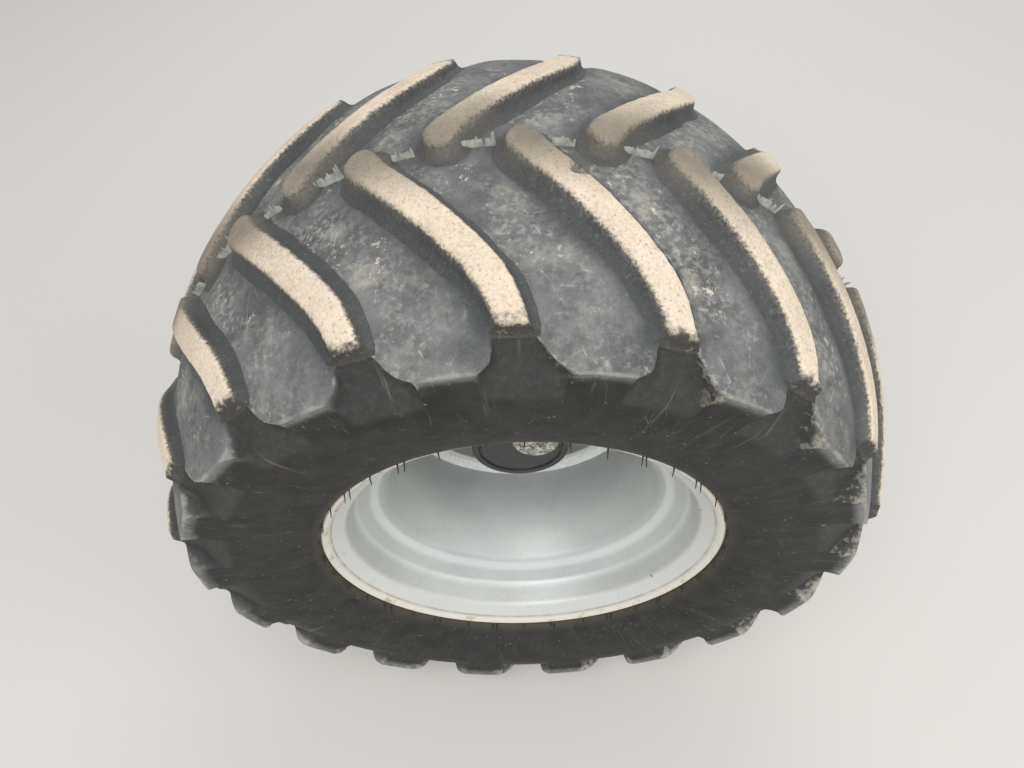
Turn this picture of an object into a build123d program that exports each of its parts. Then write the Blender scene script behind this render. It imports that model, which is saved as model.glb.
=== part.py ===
from build123d import *
import math
import os

# Rear left wheel of a compact wheel loader, on the axle end that carries it.
# Millimetres. +Z is up, the wheel spins about Y, and its outer side faces -Y.
# The origin is the centre of the axle casing's mounting face.
# In this file "s" is a distance from the wheel's middle plane, minus is outboard,
# and an angle about Y is 0 at the top and grows towards +X.

os.makedirs("parts", exist_ok=True)

# Axle
AXLE_REACH = 223.0  # mounting face to the wheel's middle plane
MOUNT_FLANGE_R = 132.0
MOUNT_FLANGE_T = 18.0
MOUNT_PCD = 226.0
MOUNT_HOLES = 8
MOUNT_HOLE_R = 8.75
CUT_SPARE = 1.0  # how far a cutting rod passes the face it cuts
CASING_R = 54.0
CASING_BORE_R = 31.0
CASING_FLARE = 44.0  # length of the flare behind the mounting flange
END_FLANGE_R = 80.0
END_FLANGE_T = 15.0
END_BOLT_PCD = 132.0
END_BOLTS = 8
END_BOLT_R = 6.0
END_BOLT_FLATS = 18.0
END_BOLT_HEAD = 7.5
BOLT_CLEARANCE = 0.3

# Spindle and half shaft
SPINDLE_FLANGE_S = 124.0
SPINDLE_FLANGE_T = 12.0
SPINDLE_R = 40.0
SPINDLE_STEP_R = 47.0
SPINDLE_STEP = 7.0
SPINDLE_BORE_R = 27.0
SPINDLE_TIP_GAP = 6.0  # to the hub's nose
SHAFT_R = 17.5
SHAFT_END_R = 22.0
SHAFT_INSET = 1.0  # behind the hub's nose
SHAFT_OVERHANG = 46.0  # past the mounting face, into the drive
SHAFT_SPLINES = 18
SPLINE_R = 19.0
SPLINE_LENGTH = 36.0
SPLINE_RUN = 4.0  # cone from the shaft up to the splines
SPLINE_DEPTH = 1.6
SPLINE_W = 1.4

# Hub
DISC_SEAT_S = 36.5  # inner face of the disc where it is bolted down
HUB_FLANGE_R = 122.0
HUB_FLANGE_T = 16.0
HUB_PILOT_R = 80.0
HUB_NOSE_S = 6.0
HUB_BARREL_R = 76.0
HUB_BARREL_END_R = 66.0
HUB_END_GAP = 8.0  # hub to the spindle's flange
HUB_RIBS = 6
HUB_RIB_T = 10.0
HUB_RIB_ROOT_R = 62.0
HUB_RIB_TIP_R = 68.0
HUB_NOSE_T = 26.0
BEARING_LAND = 24.0
RUNNING_GAP = 0.05
HUB_BORE_R = 48.0
SEAL_R = 60.0
SEAL_T = 10.0
SEAT_GAP = 0.3

# Wheel studs and nuts
STUD_PCD = 205.0
STUDS = 6
STUD_R = 9.0
STUD_HOLE_R = 10.0
STUD_TIP = 4.0  # stud past the nut
NUT_FLATS = 27.0
NUT_H = 15.0
NUT_COLLAR_R = 17.0
NUT_COLLAR_T = 4.0

# Hub cap and its plug
CAP_R = 56.0
CAP_WALL = 5.0
CAP_LIP_S = -51.0
CAP_RECESS = 11.0
CAP_FLOOR_T = 4.0
CAP_FOOT_R = 66.0
CAP_FOOT_T = 6.0
PLUG_R = 27.0
PLUG_X = 18.3
PLUG_Z = 13.5
PLUG_H = 12.0
PLUG_CHAMFER = 3.0

# Rim, its visible wall from the lip to the well
RIM_HALF = 177.0
RIM_WALL = 5.5
RIM_LIP_R = 207.9
LIP_DROP = 3.7
LIP_IN = 3.5
SEAT_OUT_R = 187.4
SEAT_OUT_IN = 16.3
SEAT_IN_R = 179.6
SEAT_IN_IN = 41.9
KNEE_R = 160.8
KNEE_IN = 57.6
WELL_R = 149.0
WELL_IN = 66.0
RIM_BEND = 3.5  # bevel of the rim's bends, along the wall

# Wheel disc and its welds
DISC_T = 12.0
DISC_DISH = 8.0
DISC_FLAT_R = 124.0
DISC_RIM_R = 137.0
DISC_BORE_R = 80.5
WELD_LEG = 9.0
WELD_ROUND = 0.4  # part of the leg that the bead's round reaches

# Valve
VALVE_ANGLE = 0.0
VALVE_HOLE_R = 8.0
VALVE_R = 5.0
VALVE_BASE_R = 10.0
VALVE_LENGTH = 15.0
VALVE_BASE_T = 3.0
VALVE_SEAT_GAP = 0.35

# Tyre
TREAD_R = 393.5
LUG_DEPTH = 15.5
LUG_DROP = 35.0  # fall of the lugs' tops from the middle to their outer ends
LUG_END_S = 177.5
FLOOR_DROP = 41.0  # fall of the floor from the middle to the lobes' tips
LOBE_S = 203.0
LOBE_EDGE = 9.0  # height of a lobe's edge over the side wall
LOBE_LIP = 5.0  # overhang of a lobe's tip
WALL_BULGE_R = 284.0
WALL_BULGE_S = 197.5
WALL_FOOT_R = 226.0
WALL_FOOT_S = 186.0
BEAD_LIP_R = 210.0
BEAD_LIP_S = 180.0
BEAD_GAP = 0.3
BEAD_TOE_S = 136.0
BEAD_TOP_R = 212.0
BEAD_SLANT = 4.0
WALL_T = 13.0
SHOULDER_T = 30.0
TREAD_BASE = 18.0
LUGS = 18
NOSE_ANGLE = -60.4
FAR_SHIFT = 10.0
LUG_DRAFT = 18.0
LUG_ROOT = 4.0  # how far a lug reaches into the carcass
LUG_SPARE = 9.0  # block above and below a lug, cut off by the tread's arcs
ARCH_ANGLE = 20.0  # arch centre, from the nose
ARCH_TOP_S = 179.5
ARCH_DEPTH = 21.0  # arch foot below the lobes' tips

# Half an arch from the side: distance along the tread, height over the lobes' tips
ARCH_OUTLINE = (
    (15.5, 60.0),
    (15.5, 9.0),
    (19.0, 5.5),
    (25.0, 3.0),
    (34.0, 1.0),
    (42.0, -1.5),
    (36.0, -10.0),
    (30.0, -ARCH_DEPTH),
)

# One lug from above: distance from the middle plane, distance along the tread
LUG_OUTLINE = (
    (12.0, 0.0),
    (130.0, 98.0),
    (190.0, 134.0),
    (190.0, 155.0),
    (128.0, 129.0),
    (3.0, 27.0),
    (-8.0, 14.0),
    (0.0, 2.0),
)


def turned(*outline):
    """A solid turned about Y from (radius, y) points."""
    return revolve(make_face(Polyline(*outline, close=True)), Axis.Y)


def rod(radius, y_low, y_high):
    """A round bar on the wheel's axis."""
    return turned((0, y_low), (radius, y_low), (radius, y_high), (0, y_high))


def ring(inner, outer, y_low, y_high):
    """A plain ring about the wheel's axis."""
    return turned((inner, y_low), (outer, y_low), (outer, y_high), (inner, y_high))


def hexagon(flats, y_low, y_high):
    """A hexagon bar on the wheel's axis."""
    base = Plane(origin=(0, y_low, 0), x_dir=(1, 0, 0), z_dir=(0, 1, 0))
    return extrude(base * RegularPolygon(flats / 2, 6, major_radius=False), y_high - y_low)


def around(piece, count, radius=0.0, start=0.0):
    """Copies of a piece on a circle about Y."""
    step = 360.0 / count
    return [Rot(0, start + k * step, 0) * Pos(0, 0, radius) * piece for k in range(count)]


def fused(pieces):
    """One solid from pieces that overlap."""
    return pieces[0].fuse(*pieces[1:]) if len(pieces) > 1 else pieces[0]


# Places along Y, and the tyre's radii
WHEEL_Y = -AXLE_REACH
FLOOR_R = TREAD_R - LUG_DEPTH
LOBE_R = FLOOR_R - FLOOR_DROP
LOBE_UNDER_R = LOBE_R - LOBE_EDGE
LOBE_UNDER_S = LOBE_S - LOBE_LIP
DISC_SEAT_Y = WHEEL_Y + DISC_SEAT_S
DISC_FACE_Y = DISC_SEAT_Y - DISC_T
DISC_EDGE_Y = DISC_FACE_Y - DISC_DISH
HUB_NOSE_Y = WHEEL_Y + HUB_NOSE_S
HUB_FLANGE_Y = DISC_SEAT_Y + HUB_FLANGE_T
CAP_LIP_Y = WHEEL_Y + CAP_LIP_S
SPINDLE_FLANGE_Y = WHEEL_Y + SPINDLE_FLANGE_S
END_FLANGE_Y = SPINDLE_FLANGE_Y + SPINDLE_FLANGE_T
HUB_END_Y = SPINDLE_FLANGE_Y - HUB_END_GAP
SPINDLE_TIP_Y = HUB_NOSE_Y + HUB_NOSE_T + SPINDLE_TIP_GAP


# Axle casing
def axle_casing():
    end_y = END_FLANGE_Y + END_FLANGE_T
    flare_y = -MOUNT_FLANGE_T - CASING_FLARE
    body = turned(
        (CASING_BORE_R, END_FLANGE_Y),
        (END_FLANGE_R, END_FLANGE_Y),
        (END_FLANGE_R, end_y),
        (CASING_R, end_y),
        (CASING_R, flare_y),
        (CASING_R + CASING_FLARE, -MOUNT_FLANGE_T),
        (MOUNT_FLANGE_R, -MOUNT_FLANGE_T),
        (MOUNT_FLANGE_R, 0),
        (CASING_BORE_R, 0),
    )
    bolt_hole = rod(MOUNT_HOLE_R, -MOUNT_FLANGE_T - CUT_SPARE, CUT_SPARE)
    body -= around(bolt_hole, MOUNT_HOLES, MOUNT_PCD / 2, 180 / MOUNT_HOLES)
    end_hole = rod(END_BOLT_R + BOLT_CLEARANCE, END_FLANGE_Y - CUT_SPARE, end_y + CUT_SPARE)
    return body - around(end_hole, END_BOLTS, END_BOLT_PCD / 2)


# Spindle
def spindle():
    body = turned(
        (SPINDLE_BORE_R, SPINDLE_TIP_Y),
        (SPINDLE_R, SPINDLE_TIP_Y),
        (SPINDLE_R, SPINDLE_FLANGE_Y - SPINDLE_STEP),
        (SPINDLE_STEP_R, SPINDLE_FLANGE_Y),
        (END_FLANGE_R, SPINDLE_FLANGE_Y),
        (END_FLANGE_R, END_FLANGE_Y),
        (SPINDLE_BORE_R, END_FLANGE_Y),
    )
    low, high = SPINDLE_FLANGE_Y - CUT_SPARE, END_FLANGE_Y + CUT_SPARE
    hole = rod(END_BOLT_R + BOLT_CLEARANCE, low, high)
    return body - around(hole, END_BOLTS, END_BOLT_PCD / 2)


# Bolts that hold the spindle to the casing
def end_bolts():
    head_y = END_FLANGE_Y + END_FLANGE_T
    bolt = fused([
        rod(END_BOLT_R, SPINDLE_FLANGE_Y, head_y),
        hexagon(END_BOLT_FLATS, head_y, head_y + END_BOLT_HEAD),
    ])
    return Compound(around(bolt, END_BOLTS, END_BOLT_PCD / 2))


# Wheel hub
def wheel_hub():
    land_r = SPINDLE_R + RUNNING_GAP
    cavity_y = HUB_NOSE_Y + HUB_NOSE_T
    outer_land_y = SPINDLE_TIP_Y + BEARING_LAND
    seal_y = HUB_END_Y - SEAL_T
    inner_land_y = seal_y - BEARING_LAND
    body = turned(
        (SHAFT_END_R + SEAT_GAP, HUB_NOSE_Y),
        (HUB_PILOT_R, HUB_NOSE_Y),
        (HUB_PILOT_R, DISC_SEAT_Y),
        (HUB_FLANGE_R, DISC_SEAT_Y),
        (HUB_FLANGE_R, HUB_FLANGE_Y),
        (HUB_BARREL_R, HUB_FLANGE_Y),
        (HUB_BARREL_END_R, HUB_END_Y),
        (SEAL_R, HUB_END_Y),
        (SEAL_R, seal_y),
        (land_r, seal_y),
        (land_r, inner_land_y),
        (HUB_BORE_R, inner_land_y),
        (HUB_BORE_R, outer_land_y),
        (land_r, outer_land_y),
        (land_r, cavity_y),
        (SHAFT_END_R + SEAT_GAP, cavity_y),
    )
    rib_end_y = HUB_END_Y - BEARING_LAND
    rib_outline = Polyline(
        (HUB_FLANGE_Y - CUT_SPARE, HUB_RIB_ROOT_R),
        (HUB_FLANGE_Y - CUT_SPARE, HUB_FLANGE_R - HUB_FLANGE_T),
        (rib_end_y, HUB_RIB_TIP_R),
        (rib_end_y, HUB_RIB_ROOT_R),
        close=True,
    )
    rib = extrude(Plane.YZ * make_face(rib_outline), HUB_RIB_T / 2, both=True)
    body += around(rib, HUB_RIBS, 0, 180 / HUB_RIBS)
    stud_hole = rod(STUD_R + SEAT_GAP, DISC_SEAT_Y - CUT_SPARE, HUB_FLANGE_Y + CUT_SPARE)
    return body - around(stud_hole, STUDS, STUD_PCD / 2)


# Oil seal between the hub and the spindle
def oil_seal():
    inner = SPINDLE_R + SEAT_GAP
    return ring(inner, SEAL_R - SEAT_GAP, HUB_END_Y - SEAL_T, HUB_END_Y)


# Half shaft that drives the hub
def half_shaft():
    end_y = HUB_NOSE_Y + SHAFT_INSET
    step_y = HUB_NOSE_Y + HUB_NOSE_T
    body = turned(
        (0, end_y),
        (SHAFT_END_R, end_y),
        (SHAFT_END_R, step_y),
        (SHAFT_R, step_y + SHAFT_END_R - SHAFT_R),
        (SHAFT_R, SHAFT_OVERHANG - SPLINE_LENGTH - SPLINE_RUN),
        (SPLINE_R, SHAFT_OVERHANG - SPLINE_LENGTH),
        (SPLINE_R, SHAFT_OVERHANG),
        (0, SHAFT_OVERHANG),
    )
    groove = Pos(0, SHAFT_OVERHANG - SPLINE_LENGTH / 2, 0) * Box(
        SPLINE_W, SPLINE_LENGTH, 2 * SPLINE_DEPTH
    )
    return body - around(groove, SHAFT_SPLINES, SPLINE_R)


# Wheel studs, pressed into the hub's flange
def wheel_studs():
    tip_y = DISC_FACE_Y - NUT_H - STUD_TIP
    stud = fused([
        rod(STUD_R, tip_y, HUB_FLANGE_Y),
        rod(STUD_R + NUT_COLLAR_T, HUB_FLANGE_Y, HUB_FLANGE_Y + NUT_COLLAR_T),
    ])
    return Compound(around(stud, STUDS, STUD_PCD / 2))


# Wheel nuts
def wheel_nuts():
    top_y = DISC_FACE_Y - NUT_H
    body = fused([
        hexagon(NUT_FLATS, top_y, DISC_FACE_Y),
        rod(NUT_COLLAR_R, DISC_FACE_Y - NUT_COLLAR_T, DISC_FACE_Y),
    ])
    nut = body - rod(STUD_R + SEAT_GAP, top_y - CUT_SPARE, DISC_FACE_Y + CUT_SPARE)
    return Compound(around(nut, STUDS, STUD_PCD / 2))


# Hub cap, a cup with a recessed floor
def hub_cap():
    floor_y = CAP_LIP_Y + CAP_RECESS
    inside = CAP_R - CAP_WALL
    return turned(
        (0, floor_y),
        (inside, floor_y),
        (inside, CAP_LIP_Y),
        (CAP_R, CAP_LIP_Y),
        (CAP_R, HUB_NOSE_Y - CAP_FOOT_T),
        (CAP_FOOT_R, HUB_NOSE_Y - CAP_FOOT_T),
        (CAP_FOOT_R, HUB_NOSE_Y),
        (inside, HUB_NOSE_Y),
        (inside, floor_y + CAP_FLOOR_T),
        (0, floor_y + CAP_FLOOR_T),
    )


# Plug in the hub cap's floor
def hub_plug():
    floor_y = CAP_LIP_Y + CAP_RECESS
    top_y = floor_y - PLUG_H
    body = turned(
        (0, top_y),
        (PLUG_R - PLUG_CHAMFER, top_y),
        (PLUG_R, top_y + PLUG_CHAMFER),
        (PLUG_R, floor_y),
        (0, floor_y),
    )
    return Pos(PLUG_X, 0, PLUG_Z) * body


# Rim
def bevelled(points, reach):
    """The points of a line with each inner corner cut off at reach from it."""
    line = [points[0]]
    for before, corner, after in zip(points, points[1:], points[2:]):
        for end in (before, after):
            part = reach / math.dist(corner, end)
            line.append(tuple(c + (e - c) * part for c, e in zip(corner, end)))
    return [*line, points[-1]]


def rim_path():
    """The rim's wall on the dish side, lip to lip, as (radius, y)."""
    half = (
        (RIM_LIP_R - LIP_DROP, RIM_HALF - LIP_IN),
        (SEAT_OUT_R, RIM_HALF - SEAT_OUT_IN),
        (SEAT_IN_R, RIM_HALF - SEAT_IN_IN),
        (KNEE_R, RIM_HALF - KNEE_IN),
        (WELL_R, RIM_HALF - WELL_IN),
    )
    outboard = [(r, WHEEL_Y - s) for r, s in half]
    inboard = [(r, WHEEL_Y + s) for r, s in reversed(half)]
    near, far = (RIM_LIP_R, WHEEL_Y - RIM_HALF), (RIM_LIP_R, WHEEL_Y + RIM_HALF)
    return Polyline(near, *bevelled(outboard + inboard, RIM_BEND), far)


def rim_section():
    """The rim's wall, its tyre side moved out by the wall."""
    return make_face(offset(rim_path(), RIM_WALL, kind=Kind.INTERSECTION, side=Side.RIGHT))


def valve_place():
    """The valve's seat on the slope of the rim, with +Z along the valve."""
    middle_r = (SEAT_IN_R + KNEE_R) / 2
    middle_s = RIM_HALF - (SEAT_IN_IN + KNEE_IN) / 2
    slope = math.atan2(SEAT_IN_R - KNEE_R, KNEE_IN - SEAT_IN_IN)
    out = (0, -math.sin(slope), -math.cos(slope))
    seat = Plane(origin=(0, WHEEL_Y - middle_s, middle_r), x_dir=(1, 0, 0), z_dir=out)
    return Rot(0, VALVE_ANGLE, 0) * seat.location


def rim():
    hole = valve_place() * Cylinder(VALVE_HOLE_R, 4 * RIM_WALL)
    return revolve(rim_section(), Axis.Y) - hole


# Wheel disc
def wheel_disc():
    rim_r = WELL_R - SEAT_GAP
    body = turned(
        (DISC_BORE_R, DISC_FACE_Y),
        (DISC_FLAT_R, DISC_FACE_Y),
        (DISC_RIM_R, DISC_EDGE_Y),
        (rim_r, DISC_EDGE_Y),
        (rim_r, DISC_EDGE_Y + DISC_T),
        (DISC_RIM_R, DISC_EDGE_Y + DISC_T),
        (DISC_FLAT_R, DISC_SEAT_Y),
        (DISC_BORE_R, DISC_SEAT_Y),
    )
    hole = rod(STUD_HOLE_R, DISC_FACE_Y - CUT_SPARE, DISC_SEAT_Y + CUT_SPARE)
    return body - around(hole, STUDS, STUD_PCD / 2)


# Weld beads, one on each side of the disc
def disc_welds():
    rim_r = WELL_R - SEAT_GAP

    def bead(y, way):
        rise = WELD_ROUND * WELD_LEG
        return turned(
            (rim_r, y),
            (rim_r - WELD_LEG, y),
            (rim_r - WELD_LEG + rise / 2, y + way * rise),
            (rim_r - rise, y + way * (WELD_LEG - rise / 2)),
            (rim_r, y + way * WELD_LEG),
        )

    return Compound([bead(DISC_EDGE_Y, -1), bead(DISC_EDGE_Y + DISC_T, 1)])


# Valve
def valve():
    stem = Cylinder(VALVE_R, VALVE_LENGTH, align=(Align.CENTER, Align.CENTER, Align.MIN))
    base = Cylinder(VALVE_BASE_R, VALVE_BASE_T, align=(Align.CENTER, Align.CENTER, Align.MIN))
    return valve_place() * Pos(0, 0, VALVE_SEAT_GAP) * fused([base, stem])


# Tyre
def floor_radius(s):
    """The tread floor's radius, an arc through the lobes' tips."""
    arc_r = (LOBE_S**2 + FLOOR_DROP**2) / (2 * FLOOR_DROP)
    return FLOOR_R - arc_r + math.sqrt(arc_r**2 - s**2)


def tyre_side(way):
    """One side wall's outer and inner edges, from the lobe tip round to the inner crown."""
    def at(radius, s):
        return (radius, WHEEL_Y + way * s)

    outer = [
        Line(at(LOBE_R, LOBE_S), at(LOBE_UNDER_R, LOBE_UNDER_S)),
        ThreePointArc(
            at(LOBE_UNDER_R, LOBE_UNDER_S), at(WALL_BULGE_R, WALL_BULGE_S), at(WALL_FOOT_R, WALL_FOOT_S)
        ),
        Line(at(WALL_FOOT_R, WALL_FOOT_S), at(BEAD_LIP_R, BEAD_LIP_S)),
        Line(at(BEAD_LIP_R, BEAD_LIP_S), at(WELL_R, BEAD_LIP_S)),
        Line(at(WELL_R, BEAD_LIP_S), at(WELL_R, BEAD_TOE_S)),
        Line(at(WELL_R, BEAD_TOE_S), at(BEAD_TOP_R, BEAD_TOE_S + BEAD_SLANT)),
    ]
    inner = Polyline(
        at(BEAD_TOP_R, BEAD_TOE_S + BEAD_SLANT),
        at(WALL_FOOT_R + WALL_T, WALL_FOOT_S - WALL_T),
        at(WALL_BULGE_R, WALL_BULGE_S - WALL_T),
        at(LOBE_UNDER_R - WALL_T, WALL_BULGE_S - WALL_T),
        at(LOBE_R - WALL_T, LOBE_S - SHOULDER_T),
    )
    return outer + inner.edges()


def carcass():
    """The tyre without its lugs, seated on the rim."""
    edges = tyre_side(-1) + tyre_side(1)
    edges.append(ThreePointArc((LOBE_R, WHEEL_Y - LOBE_S), (FLOOR_R, WHEEL_Y), (LOBE_R, WHEEL_Y + LOBE_S)))
    edges.append(ThreePointArc(
        (LOBE_R - WALL_T, WHEEL_Y - LOBE_S + SHOULDER_T),
        (FLOOR_R - TREAD_BASE, WHEEL_Y),
        (LOBE_R - WALL_T, WHEEL_Y + LOBE_S - SHOULDER_T),
    ))
    body = revolve(make_face(edges), Axis.Y)
    reach = RIM_WALL + BEAD_GAP
    seat = offset(rim_path(), reach, kind=Kind.INTERSECTION, side=Side.RIGHT, closed=False)
    first, last = seat @ 0, seat @ 1
    if first.Y > last.Y:
        first, last = last, first
    far = RIM_HALF + LOBE_S
    closing = Polyline(
        (last.X, last.Y),
        (RIM_LIP_R + BEAD_GAP, WHEEL_Y + RIM_HALF + BEAD_GAP),
        (RIM_LIP_R + BEAD_GAP, WHEEL_Y + far),
        (WELL_R / 2, WHEEL_Y + far),
        (WELL_R / 2, WHEEL_Y - far),
        (RIM_LIP_R + BEAD_GAP, WHEEL_Y - far),
        (RIM_LIP_R + BEAD_GAP, WHEEL_Y - RIM_HALF - BEAD_GAP),
        (first.X, first.Y),
    )
    return body - revolve(make_face([*seat.edges(), *closing.edges()]), Axis.Y)


def tread_zone():
    """The ring between the lugs' roots and tops, where lugs may be."""
    def root(s):
        return floor_radius(s) - LUG_ROOT

    end_r = TREAD_R - LUG_DROP
    low, high = WHEEL_Y - LUG_END_S, WHEEL_Y + LUG_END_S
    edges = [
        ThreePointArc((end_r, low), (TREAD_R, WHEEL_Y), (end_r, high)),
        Line((end_r, high), (root(LUG_END_S), high)),
        ThreePointArc((root(LUG_END_S), high), (root(0), WHEEL_Y), (root(LUG_END_S), low)),
        Line((root(LUG_END_S), low), (end_r, low)),
    ]
    return revolve(make_face(edges), Axis.Y)


def lug_block(way):
    """One lug with its draft, nose at the top, on the side that way gives."""
    tilt = math.atan2(LUG_DROP, LUG_END_S)
    normal = (0, way * math.sin(tilt), math.cos(tilt))
    chord = Plane(origin=(0, WHEEL_Y, TREAD_R), x_dir=(1, 0, 0), z_dir=normal)
    outline = make_face(Polyline(*[(v, way * u) for u, v in LUG_OUTLINE], close=True))
    middle = sum(v for _, v in LUG_OUTLINE) / len(LUG_OUTLINE)
    slope = math.tan(math.radians(LUG_DRAFT))
    sections = []
    for height in (LUG_SPARE, -LUG_DEPTH - LUG_ROOT - LUG_SPARE):
        spread = -height * slope
        face = offset(outline, spread, kind=Kind.INTERSECTION)
        sections.append(chord.offset(height) * Pos(-middle, 0, 0) * face)
    block = loft(sections, ruled=True)
    return Rot(0, math.degrees(middle / TREAD_R), 0) * block


def arch_cut(way):
    """The notch in the shoulder under a lug's outer end."""
    half = [(x, LOBE_R + h) for x, h in ARCH_OUTLINE]
    outline = make_face(Polyline(*half, *[(-x, r) for x, r in reversed(half)], close=True))
    far = 2 * LOBE_S
    block = extrude(Plane.XZ * outline, far + AXLE_REACH, both=True)
    top_y = WHEEL_Y + way * ARCH_TOP_S
    foot_y = WHEEL_Y + way * LOBE_UNDER_S
    wedge = Polyline(
        (top_y, 2 * TREAD_R),
        (top_y, LOBE_R + LOBE_EDGE),
        (foot_y, LOBE_R - ARCH_DEPTH),
        (WHEEL_Y + way * far, LOBE_R - ARCH_DEPTH),
        (WHEEL_Y + way * far, 2 * TREAD_R),
        close=True,
    )
    width = max(x for x, _ in ARCH_OUTLINE)
    return block & extrude(Plane.YZ * make_face(wedge), width, both=True)


def tyre():
    body = carcass()
    zone = tread_zone()
    lugs = []
    arches = []
    for way, start in ((-1, NOSE_ANGLE), (1, NOSE_ANGLE + FAR_SHIFT)):
        lugs += around(lug_block(way) & zone, LUGS, 0, start)
        arches += around(arch_cut(way), LUGS, 0, start + ARCH_ANGLE)
    return (body - arches).fuse(*lugs)


PARTS = {
    "axle_casing": axle_casing,
    "spindle": spindle,
    "end_bolts": end_bolts,
    "wheel_hub": wheel_hub,
    "oil_seal": oil_seal,
    "half_shaft": half_shaft,
    "wheel_studs": wheel_studs,
    "wheel_nuts": wheel_nuts,
    "hub_cap": hub_cap,
    "hub_plug": hub_plug,
    "rim": rim,
    "wheel_disc": wheel_disc,
    "disc_welds": disc_welds,
    "valve": valve,
    "tyre": tyre,
}

for name, make in PARTS.items():
    export_step(make(), f"parts/{name}.step")
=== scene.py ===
import math
import random
from collections import namedtuple

import bpy
import bmesh
import numpy as np
from bpy.props import FloatProperty, FloatVectorProperty, IntProperty, PointerProperty
from mathutils import Matrix, Vector, noise


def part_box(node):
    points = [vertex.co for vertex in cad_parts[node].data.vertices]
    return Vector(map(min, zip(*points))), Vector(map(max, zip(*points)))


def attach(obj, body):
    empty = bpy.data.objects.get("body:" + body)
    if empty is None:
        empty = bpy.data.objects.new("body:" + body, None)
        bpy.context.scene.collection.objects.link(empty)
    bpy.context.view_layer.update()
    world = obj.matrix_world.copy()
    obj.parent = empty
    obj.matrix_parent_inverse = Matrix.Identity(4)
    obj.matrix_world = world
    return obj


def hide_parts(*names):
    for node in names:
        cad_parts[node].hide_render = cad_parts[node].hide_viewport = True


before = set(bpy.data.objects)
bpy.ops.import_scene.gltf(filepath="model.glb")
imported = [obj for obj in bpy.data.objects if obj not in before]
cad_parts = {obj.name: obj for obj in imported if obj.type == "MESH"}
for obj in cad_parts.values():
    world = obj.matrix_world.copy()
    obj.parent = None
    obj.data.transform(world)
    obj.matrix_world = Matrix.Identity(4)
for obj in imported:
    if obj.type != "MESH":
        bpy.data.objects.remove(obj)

bl_info = {
    "name": "Loader wheel",
    "version": (1, 0, 0),
    "blender": (4, 5, 0),
    "location": "3D View > Sidebar > Loader wheel",
    "description": "Dresses the packed wheel and axle end of a compact wheel loader",
    "category": "Object",
}

MM = 0.001
RUBBER_NODE_LOW, RUBBER_NODE_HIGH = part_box("tyre")
WHEEL_Y = (RUBBER_NODE_LOW.y + RUBBER_NODE_HIGH.y) / 2
SEED = 18

# Tread floor and shoulder, millimetres across from the wheel's middle plane
LOBE_ACROSS = 203.0
FLOOR_DROP = 41.0
LUG_END = 177.5
LUG_DROP = 35.0
NOSE_ANGLE = -60.4
FAR_SHIFT = 10.0
PITCHES = 18
PITCH_DEGREES = 360.0 / PITCHES
LOBE_COLUMNS = 19
PITCH_COLUMNS = LOBE_COLUMNS + 15

# One shoulder row each: lobe across, lobe radius (0 is the floor's arc), arch across,
# arch radius (0 too), and the lobe's two sides in degrees from the arch's middle
SHOULDER = (
    (163.0, 0, 163.0, 0, 2.0, 17.6),
    (169.0, 0, 169.0, 0, 2.1, 17.6),
    (174.0, 0, 174.0, 0, 2.3, 17.5),
    (177.5, 0, 177.2, 346.8, 2.5, 17.4),
    (181.0, 0, 178.8, 345.2, 2.9, 17.3),
    (185.0, 0, 180.2, 342.6, 3.4, 17.2),
    (189.0, 0, 181.6, 339.2, 3.9, 17.2),
    (192.5, 0, 183.2, 335.4, 4.4, 17.1),
    (195.5, 0, 184.8, 331.8, 4.9, 17.0),
    (198.0, 0, 186.4, 328.3, 5.4, 16.8),
    (200.0, 0, 188.0, 325.6, 6.0, 16.4),
    (201.6, 0, 189.6, 323.0, 6.6, 15.9),
    (202.6, 336.2, 191.2, 320.5, 7.2, 15.4),
    (203.0, 334.4, 192.7, 318.1, 7.5, 15.1),
    (202.6, 331.9, 194.1, 315.8, 7.5, 15.0),
    (201.7, 329.3, 195.3, 313.5, 7.5, 15.0),
    (200.8, 326.6, 196.4, 311.2, 7.4, 15.0),
    (199.9, 323.4, 197.2, 308.9, 7.3, 15.0),
    (199.3, 319.5, 197.8, 306.6, 7.2, 15.0),
    (198.9, 314.5, 198.2, 304.6, 7.1, 15.0),
    (198.7, 308.5, 198.4, 303.0, 7.0, 15.0),
    (198.6, 302.0, 198.6, 301.6, 7.0, 15.0),
)
FLOOR_SIDES = (2.0, 17.6)
WALL_SIDES = (7.0, 15.0)
FLOOR_ROWS = 14
FLOOR_STEP = 12.0

# One row of the section: its place on a lobe and in an arch, the lobe's sides, how much the
# columns follow the lobes, and how much it is tread floor and worn
Row = namedtuple("Row", "across radius arch_across arch_radius left right warp floor worn")

# From and to, across or by radius, of what comes in or fades over the section
WARP_ACROSS = (120.0, 163.0)
WARP_RADII = (270.0, 300.0)
WORN_ACROSS = (200.5, 202.6)
WORN_RADII = (331.5, 334.4)
FLOOR_RADII = (322.0, 333.0)
EDGE_WEAR_ACROSS = (180.0, 190.0)
TAN_ACROSS = (150.0, 172.0)
EDGE_WEAR = 0.8
TAN_LEFT = 1.6
LOBE_TOP = 333.0
UNEVEN_SCALE = 0.02
UNEVEN_HEIGHT = 0.9

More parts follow.
